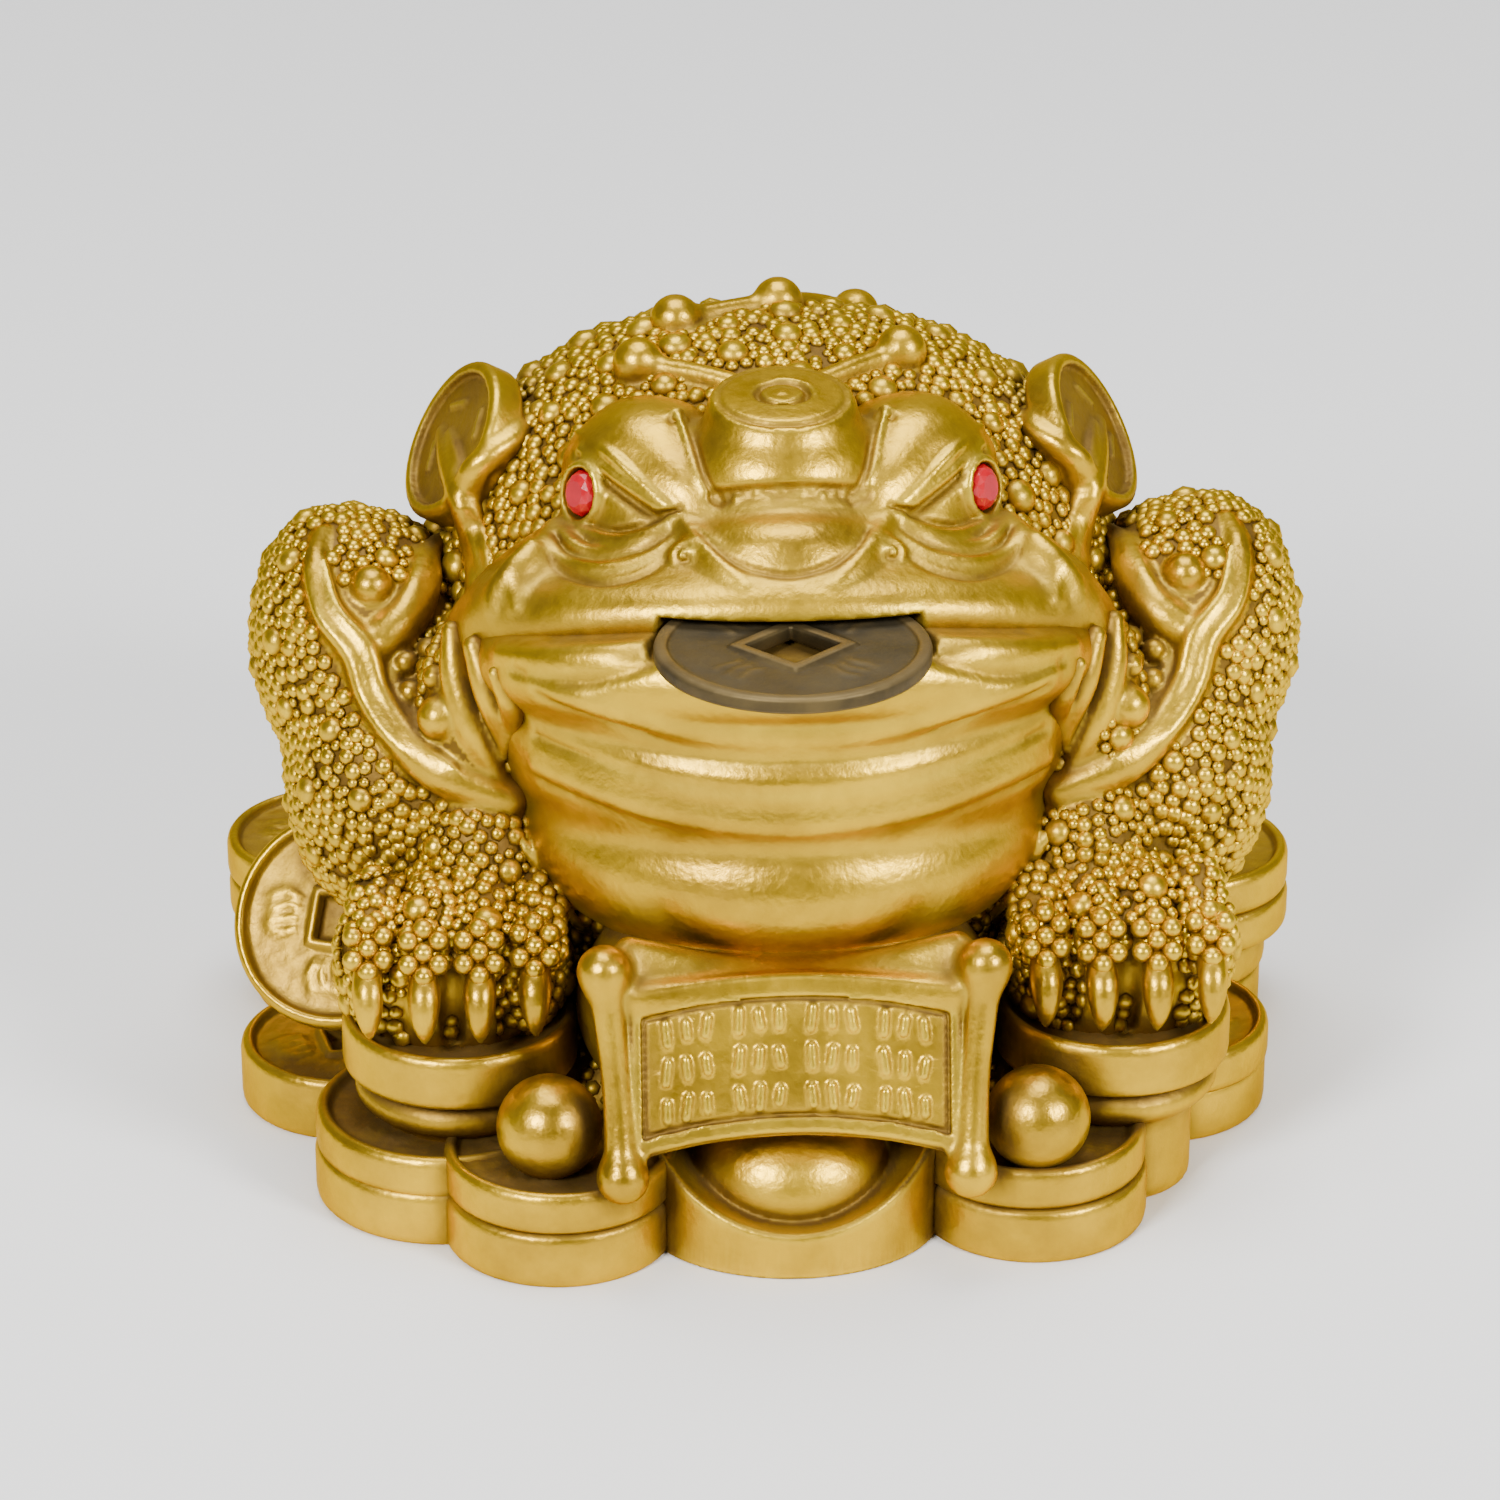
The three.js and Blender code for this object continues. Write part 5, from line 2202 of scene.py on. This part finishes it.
@dataclass
class Heap:
    """The heap of cash coins under the toad, with two pearls and a warty mound between the stacks."""

    lowest: float = 5.2
    layer: float = 3.9
    single: float = 6.0
    tuck: float = 0.5
    paw_rise: float = 3.4
    paw_coin: Pair = (10.6, 5.0)
    lean: float = 56.0
    leaning_coin: Pair = (10.2, 2.8)
    coin: CashCoin = field(default_factory=CashCoin)
    stacks: tuple[tuple[float, float, tuple[float, ...]], ...] = (
        (-29, 10.4, (-1.8, -1.6)),
        (-48, 11.8, (-0.8, -0.6)),
        (-77, 10.4, (0.0,)),
        (-108, 10.4, (-0.6, -0.4, -2.9, -3.0)),
        (-139, 10.4, (0.0, 0.6)),
        (-171, 10.4, (0.0, 0.6)),
        (32, 10.4, (0.0, 0.4)),
        (70, 10.4, (3.6, 3.4)),
        (100, 10.4, (3.4, 3.0, 0.9, 1.0)),
        (131, 10.4, (0.0, 0.6)),
        (160, 10.4, (0.0, 0.6)),
    )
    pearl: float = 4.7
    step: float = 0.5
    keep: float = 0.4

    def around(self, angle: float, inset: float = 0.0) -> Pair:
        """Gives a place on the heap's edge, by its angle from the front."""
        turn = math.radians(angle)
        return (HEAP_HALF - inset) * math.sin(turn), -(HEAP_HALF - inset) * math.cos(turn)

    def coins(self) -> list[tuple[np.ndarray, tuple[float, float, float], float, float, bool]]:
        """Lists the coins as place, turn in degrees, radius, thickness and whether they show a face.

        Returns:
            The coins.
        """
        listed = []
        for each, (angle, radius, insets) in enumerate(self.stacks):
            for level, inset in enumerate(insets):
                x, y = self.around(angle, inset)
                rise = self.lowest + (level - 1) * self.layer - each % 2 * self.tuck if level else 0.0
                ground = self.single if len(insets) == 1 else self.lowest
                thick = self.layer if level else ground
                faced = level == len(insets) - 1
                listed.append((np.array([x, y, rise]), (0.0, 0.0, angle), radius, thick, faced))
        for flank in FLANKS:
            at = np.array([flank * PAW_AT[0], PAW_AT[1], HEAP_TOP + self.paw_rise])
            listed.append((at, (0.0, 0.0, 0.0), *self.paw_coin, True))
        x, y = self.around(-75, -0.5)
        rise = HEAP_TOP + 0.6 + self.leaning_coin[0] * math.sin(math.radians(self.lean))
        listed.append((np.array([x, y, rise]), (self.lean, 0.0, -19.0), *self.leaning_coin, True))
        return listed

    def mass(self, clay: Clay) -> None:
        """Presses on the mound and the pearls.

        Args:
            clay: the block.
        """
        clay.add(Lump((0, 0, 0), (0.94 * HEAP_HALF, 0.94 * HEAP_HALF, 2.4 * HEAP_TOP)), 0.5)
        for flank in FLANKS:
            clay.add(Puck((flank * PAW_AT[0], PAW_AT[1], 6.6), 7.4, 6.6, edge=0.8), 1.0)
            clay.add(Lump((flank * PAW_AT[0], PAW_AT[1], 10.4), (9.6, 9.6, 3.4)), 1.0)
        for pearl in self.pearls():
            clay.add(pearl, 0.3)

    def pearls(self) -> list[Lump]:
        """Lists the two pearls in front."""
        places = [self.around(28 * flank, -5) for flank in FLANKS]
        return [Lump((x, y, HEAP_TOP + 0.7 * self.pearl), (self.pearl,) * 3) for x, y in places]

    def shadow(self, clay: Clay) -> None:
        """Presses plain coins into a block, for the shade that they throw.

        Args:
            clay: the block.
        """
        for at, turn, radius, thick, _ in self.coins():
            out = turned(turn)[:, 2]
            clay.add(Puck(at + out * thick / 2, radius, thick / 2, turn), 0.0)

    def build_core(self, studio: Studio) -> bpy.types.Object:
        """Builds and paints the mound with its pearls.

        Args:
            studio: the studio.

        Returns:
            The piece.
        """
        clay = Clay((-45, -49, -1.5), (45, 45, 22.5), self.step)
        self.mass(clay)
        clay.cut(Puck((0, 5 - HEAP_HALF, 12), 12.6, 14, stretch=0.8), 0.0)
        clay.cut(Slab((0, 0, -5), (80, 80, 5)), 0.0)
        piece = studio.carved("heap_core", clay, self.keep)
        points, _ = corners(piece)
        x, y, z = points.T
        rough = (z > 5) & (np.hypot(x, y) > 27) & ~((np.abs(x) < 14) & (y < -22))
        rough &= np.hypot(np.abs(x) - PAW_AT[0], y - PAW_AT[1]) > 10.4
        for pearl in self.pearls():
            rough &= pearl.distance(x, y, z) > 0.7
        rough = rough.astype(np.float32)
        set_values(piece, "warty", rough)
        # Painted shade on the skin between the mound's warts.
        set_values(piece, "wash", np.maximum(get_values(piece, "wash"), 0.8 * rough))
        return piece

    def build_coins(self, studio: Studio) -> bpy.types.Object:
        """Sets every coin in its place with a geometry node tree.

        Args:
            studio: the studio.

        Returns:
            The coins as one piece.
        """
        tree = Setting.tree()
        parts = []
        paint = studio.finish(GoldPaint())
        for faced in (False, True):
            listed = [coin for coin in self.coins() if coin[4] == faced]
            for thick in sorted({coin[3] for coin in listed}):
                shape = self.coin.make("coin_shape", thick, faced)
                chosen = [(at, turn, (radius / self.coin.radius, radius / self.coin.radius, 1))
                          for at, turn, radius, own, _ in listed if own == thick]
                parts.append(Setting.place("coins", tree, shape, paint, chosen))
                bpy.data.objects.remove(shape)
        piece = join("heap_coins", parts)
        studio.shade.paint(piece)
        return piece


@dataclass
class MouthCoin:
    """The loose bronze coin, the same on both faces, with a corner of its hole to the front."""

    radius: float = 12.0
    thickness: float = 1.5
    hole: float = 5.6
    recess: float = 0.25
    sides: int = 160
    relief: Relief = Relief(
        (0.018, 1.9, 2.0, 1.1, 1.7, 0.4), 3, pitch=1.3, wave=0.2, drift=1.0, width=0.4,
        reach=(7.0, 1.2, 0.5), rise=0.14,
    )

    def face_rows(self) -> list[tuple[float, float, float]]:
        """Lists the upper face's rows as share from hole to edge, inset and depth under the rim.

        Returns:
            The rows.
        """
        border = ((0.0, 0.35), (0.08, 0.08), (0.3, 0.0), (0.95, 0.0), (1.15, 0.08), (1.35, self.recess))
        rim = ((0.855, 0.14), (0.875, 0.02), (0.9, 0.0), (0.96, 0.0), (0.985, 0.1), (1.0, 0.35))
        rows = [(0.0, inset, depth) for inset, depth in border]
        rows += [(share, 0.0, self.recess) for share in np.linspace(0.24, 0.83, 15)]
        return rows + [(share, 0.0, depth) for share, depth in rim]

    def build(self, studio: Studio) -> bpy.types.Object:
        """Builds and paints the coin where it rests.

        Args:
            studio: the studio.

        Returns:
            The piece.
        """
        half = self.thickness / 2
        upper = self.face_rows()
        rows = [(share, inset, half - depth, 1) for share, inset, depth in upper]
        rows += [(share, inset, depth - half, -1) for share, inset, depth in reversed(upper)]
        points, wash, wear = [], [], []
        for share, inset, height, way in rows:
            for side in range(self.sides):
                x, y = coin_place(share, inset, (side + 0.5) / self.sides, self.radius, self.hole / 2)
                sunk = 0.2 < share < 0.84
                rise = self.relief.height(x, y) if sunk else 0.0
                points.append((x, y, height + way * rise))
                wash.append(0.55 - 3.0 * rise if sunk else 0.0)
                wear.append(0.6 if 0.87 < share < 0.99 or 0.2 < inset < 1.0 else 2.5 * rise)
        faces = []
        count = len(rows)
        for row in range(count):
            for side in range(self.sides):
                a, b = row * self.sides + side, row * self.sides + (side + 1) % self.sides
                c, d = (b + self.sides) % (count * self.sides), (a + self.sides) % (count * self.sides)
                faces.append((a, d, c, b))
        around = turned((0, 0, 45))
        middle = toad(Mouth().at) + np.array([0, 0, half])
        placed = np.array(points) @ around.T + middle
        piece = mesh_of("mouth_coin_worn", placed, faces)
        set_values(piece, "wash", np.clip(wash, 0, 1))
        set_values(piece, "wear", np.clip(wear, 0, 1))
        piece.data.materials.append(studio.finish(AgedBronze()))
        return piece


@dataclass
class EyeGem:
    """A red stone with two rows of facets in an eye."""

    flank: int
    half_width: float = 1.8
    half_height: float = 2.1
    depth: float = 1.7
    facets: int = 10

    def build(self, studio: Studio, head: Head) -> bpy.types.Object:
        """Builds the gem in its seat.

        Args:
            studio: the studio.
            head: the head that it sits in.

        Returns:
            The piece.
        """
        back, look = head.gem_frame(self.flank)
        across = np.cross([0, 0, 1], look)
        across /= np.linalg.norm(across)
        basis = np.array([across, np.cross(look, across), look]).T
        rings = [(0.98, 0.0, 0.0), (1.0, 0.5, 0.0), (0.84, 0.8, 0.5), (0.58, 1.0, 0.0)]
        points = []
        for reach, height, shift in rings:
            for side in range(self.facets):
                angle = 2 * math.pi * (side + shift) / self.facets
                x, y = self.half_width * math.cos(angle), self.half_height * math.sin(angle)
                points.append((reach * x, reach * y, height * self.depth))
        count = self.facets
        faces: list[tuple[int, ...]] = [tuple(reversed(range(count)))]
        for side in range(count):
            a, b = side, (side + 1) % count
            faces.append((a, b, b + count, a + count))
            before = (side - 1) % count
            faces.append((a + count, b + count, a + 2 * count))
            faces.append((a + count, a + 2 * count, before + 2 * count))
            faces.append((a + 2 * count, b + 3 * count, a + 3 * count))
            faces.append((before + 2 * count, a + 2 * count, a + 3 * count))
        faces.append(tuple(3 * count + side for side in range(count)))
        placed = np.array(points) @ basis.T + back
        piece = mesh_of(f"gem_stone_{SIDES[self.flank]}", placed, faces)
        piece.data.shade_flat()
        piece.data.materials.append(studio.finish(RedGem()))
        return piece


@dataclass
class Room:
    """The floor, the soft lights and the camera at the photograph's angle."""

    azimuth: float = -2.5
    elevation: float = 24.0
    distance: float = 520.0
    aim: tuple[float, float, float] = (-2.26, -1.01, 30.61)
    lens: float = 133.5
    half_floor: float = 3.0

    def floor(self, studio: Studio) -> None:
        """Lays the floor, with a curved sweep up behind the figure.

        Args:
            studio: the studio.
        """
        profile = [(-1.4, 0.0), (1.1, 0.0)]
        profile += [(1.1 + 0.6 * math.sin(t), 0.6 - 0.6 * math.cos(t)) for t in np.linspace(0, 1.4, 12)[1:]]
        profile.append((1.72, 2.4))
        points = [(x, y, z) for y, z in profile for x in (-self.half_floor, self.half_floor)]
        faces = [(2 * i, 2 * i + 1, 2 * i + 3, 2 * i + 2) for i in range(len(profile) - 1)]
        floor = mesh_of("floor", np.array(points) / MM, faces)
        floor.data.materials.append(studio.finish(PaleFloor()))

    def light(self, name: str, at: Point, size: float, watts: float, tint: Point = (1, 1, 1)) -> None:
        """Sets a soft square light that looks at the figure.

        Args:
            name: its name.
            at: its place in metres.
            size: its side in metres.
            watts: its power.
            tint: its colour.
        """
        lamp = bpy.data.lights.new(name, "AREA")
        lamp.shape, lamp.size, lamp.energy, lamp.color = "SQUARE", size, watts, tint
        holder = bpy.data.objects.new(name, lamp)
        bpy.context.scene.collection.objects.link(holder)
        holder.location = at
        holder.rotation_mode = "QUATERNION"
        holder.rotation_quaternion = (Vector((0, 0, 0.035)) - Vector(at)).to_track_quat("-Z", "Y")

    def lights(self) -> None:
        """Sets the two soft boxes, the fill from above and the pale surroundings."""
        self.light("soft_box_left", (-0.5, -0.72, 0.6), 0.26, 13.5)
        self.light("soft_box_right", (0.62, -0.62, 0.52), 0.26, 10.5)
        self.light("soft_box_top", (0.0, 0.1, 0.95), 0.6, 9.0)
        world = bpy.data.worlds.new("pale_room")
        bpy.context.scene.world = world
        world.use_nodes = True
        ground = world.node_tree.nodes["Background"]
        ground.inputs["Color"].default_value = (1.0, 0.99, 0.97, 1)
        ground.inputs["Strength"].default_value = 0.22

    def camera(self) -> None:
        """Sets the camera."""
        a, e = math.radians(self.azimuth), math.radians(self.elevation)
        away = Vector((math.sin(a) * math.cos(e), -math.cos(a) * math.cos(e), math.sin(e)))
        eye = Vector((-1.0, 0.0, 33.0)) + away * self.distance
        lens = bpy.data.cameras.new("camera")
        lens.lens, lens.sensor_width = self.lens, 36.0
        lens.clip_start, lens.clip_end = 0.01, 20.0
        holder = bpy.data.objects.new("camera", lens)
        bpy.context.scene.collection.objects.link(holder)
        holder.location = eye * MM
        holder.rotation_mode = "QUATERNION"
        holder.rotation_quaternion = (Vector(self.aim) - eye).to_track_quat("-Z", "Y")
        bpy.context.scene.camera = holder


def clear_round(skin: bpy.types.Object, balls: bpy.types.Object, per_ball: int, margin: float) -> None:
    """Keeps small warts off the large ones.

    Args:
        skin: the skin that both stand on.
        balls: the large warts.
        per_ball: corners of each.
        margin: room that is left round each, in its radii.
    """
    places, _ = corners(balls)
    groups = places.reshape(-1, per_ball, 3)
    points, _ = corners(skin)
    rough = get_values(skin, "warty")
    for group in groups:
        middle = group.mean(0)
        radius = np.linalg.norm(group - middle, axis=1).max()
        rough[np.linalg.norm(points - middle, axis=1) < margin * radius] = 0
    set_values(skin, "warty", rough)


def grow_warts(studio: Studio, skins: dict[str, bpy.types.Object],
               knuckles: dict[str, list[tuple[np.ndarray, Point, Point]]]) -> list[bpy.types.Object]:
    """Grows two sizes of warts on every rough skin, and sets the beads on the knuckles.

    Args:
        studio: the studio.
        skins: the skins, by the name of what grows on them.
        knuckles: the beads of some skins, by the same name.

    Returns:
        The warts, one piece for each skin.
    """
    bed = WartBed.tree()
    setting = Setting.tree()
    small, large = WartBed.wart("wart_small"), WartBed.wart("wart_large", 14, 9)
    bead = WartBed.wart("bead", 14)
    paint = studio.finish(GoldPaint())
    sizes = {
        "heap": (WartBed(1.1, 0.4, 0.8, 3), None),
        "back": (WartBed(1.22, 0.68, 1.08, 5), WartBed(5.6, 1.2, 1.75, 11)),
        "other": (WartBed(1.1, 0.68, 1.0, 9), WartBed(6.0, 1.1, 1.45, 13)),
    }
    made = []
    for name, skin in skins.items():
        fine, coarse = sizes.get(name, sizes["other"])
        parts = []
        if coarse:
            parts.append(coarse.grow("coarse", skin, bed, large, paint))
            clear_round(skin, parts[0], len(large.data.vertices), 0.85)
        parts.append(fine.grow("fine", skin, bed, small, paint))
        if name in knuckles:
            parts.append(Setting.place("knuckles", setting, bead, paint, knuckles[name]))
        piece = join(f"warts_{name}", parts)
        # Painted shade on the warts where the figure closes round them.
        points, ways = corners(piece)
        outer = Shade.closed(studio.shade.whole, points, ways, (2.5, 5.0))
        set_values(piece, "wash", np.clip(get_values(piece, "wash") + 0.9 * (outer - 0.25), 0, 1))
        made.append(piece)
    for shape in (small, large, bead):
        bpy.data.objects.remove(shape)
    return made


def main() -> None:
    """Builds the figure's sub-assemblies in order."""
    logging.basicConfig(level=logging.INFO, format="%(message)s")
    studio = Studio()
    room = Room()
    room.camera()
    room.lights()
    room.floor(studio)

    head, trunk, heap, scroll, ingot = Head(), Trunk(), Heap(), Scroll(), Ingot()
    legs = [FrontLeg(flank) for flank in FLANKS]
    shoulders = [ShoulderCoin(flank) for flank in FLANKS]
    whole = studio.shade.whole
    whole.add(trunk.back)
    trunk.front(whole)
    trunk.hind_leg(whole)
    head.mass(whole)
    for part in (*legs, *shoulders, heap, scroll, ingot):
        part.mass(whole)
    heap.shadow(whole)
    studio.shade.limbs.add(trunk.back)
    for part in (*legs, *shoulders):
        part.mass(studio.shade.limbs)

    pieces = [head.build(studio)]
    skins = {"back": trunk.build(studio)}
    knuckles = {}
    for leg, side in zip(legs, ("right", "left")):
        skins[f"leg_{side}"] = leg.build(studio)
        knuckles[f"leg_{side}"] = leg.knuckles()
    skins["heap"] = heap.build_core(studio)
    pieces += grow_warts(studio, skins, knuckles)
    pieces += list(skins.values())
    pieces.append(heap.build_coins(studio))
    pieces += [part.build(studio) for part in (*shoulders, scroll, ingot)]
    for piece in pieces:
        studio.hand_over(piece, "gold_resin", "toad_casting")
    studio.hand_over(MouthCoin().build(studio), "coin_bronze", "mouth_coin")
    for flank, node in zip(FLANKS, ("eye_gem_left", "eye_gem_right")):
        studio.hand_over(EyeGem(flank).build(studio, head), "red_gem", node)

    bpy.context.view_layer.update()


if __name__ == "__main__":
    main()
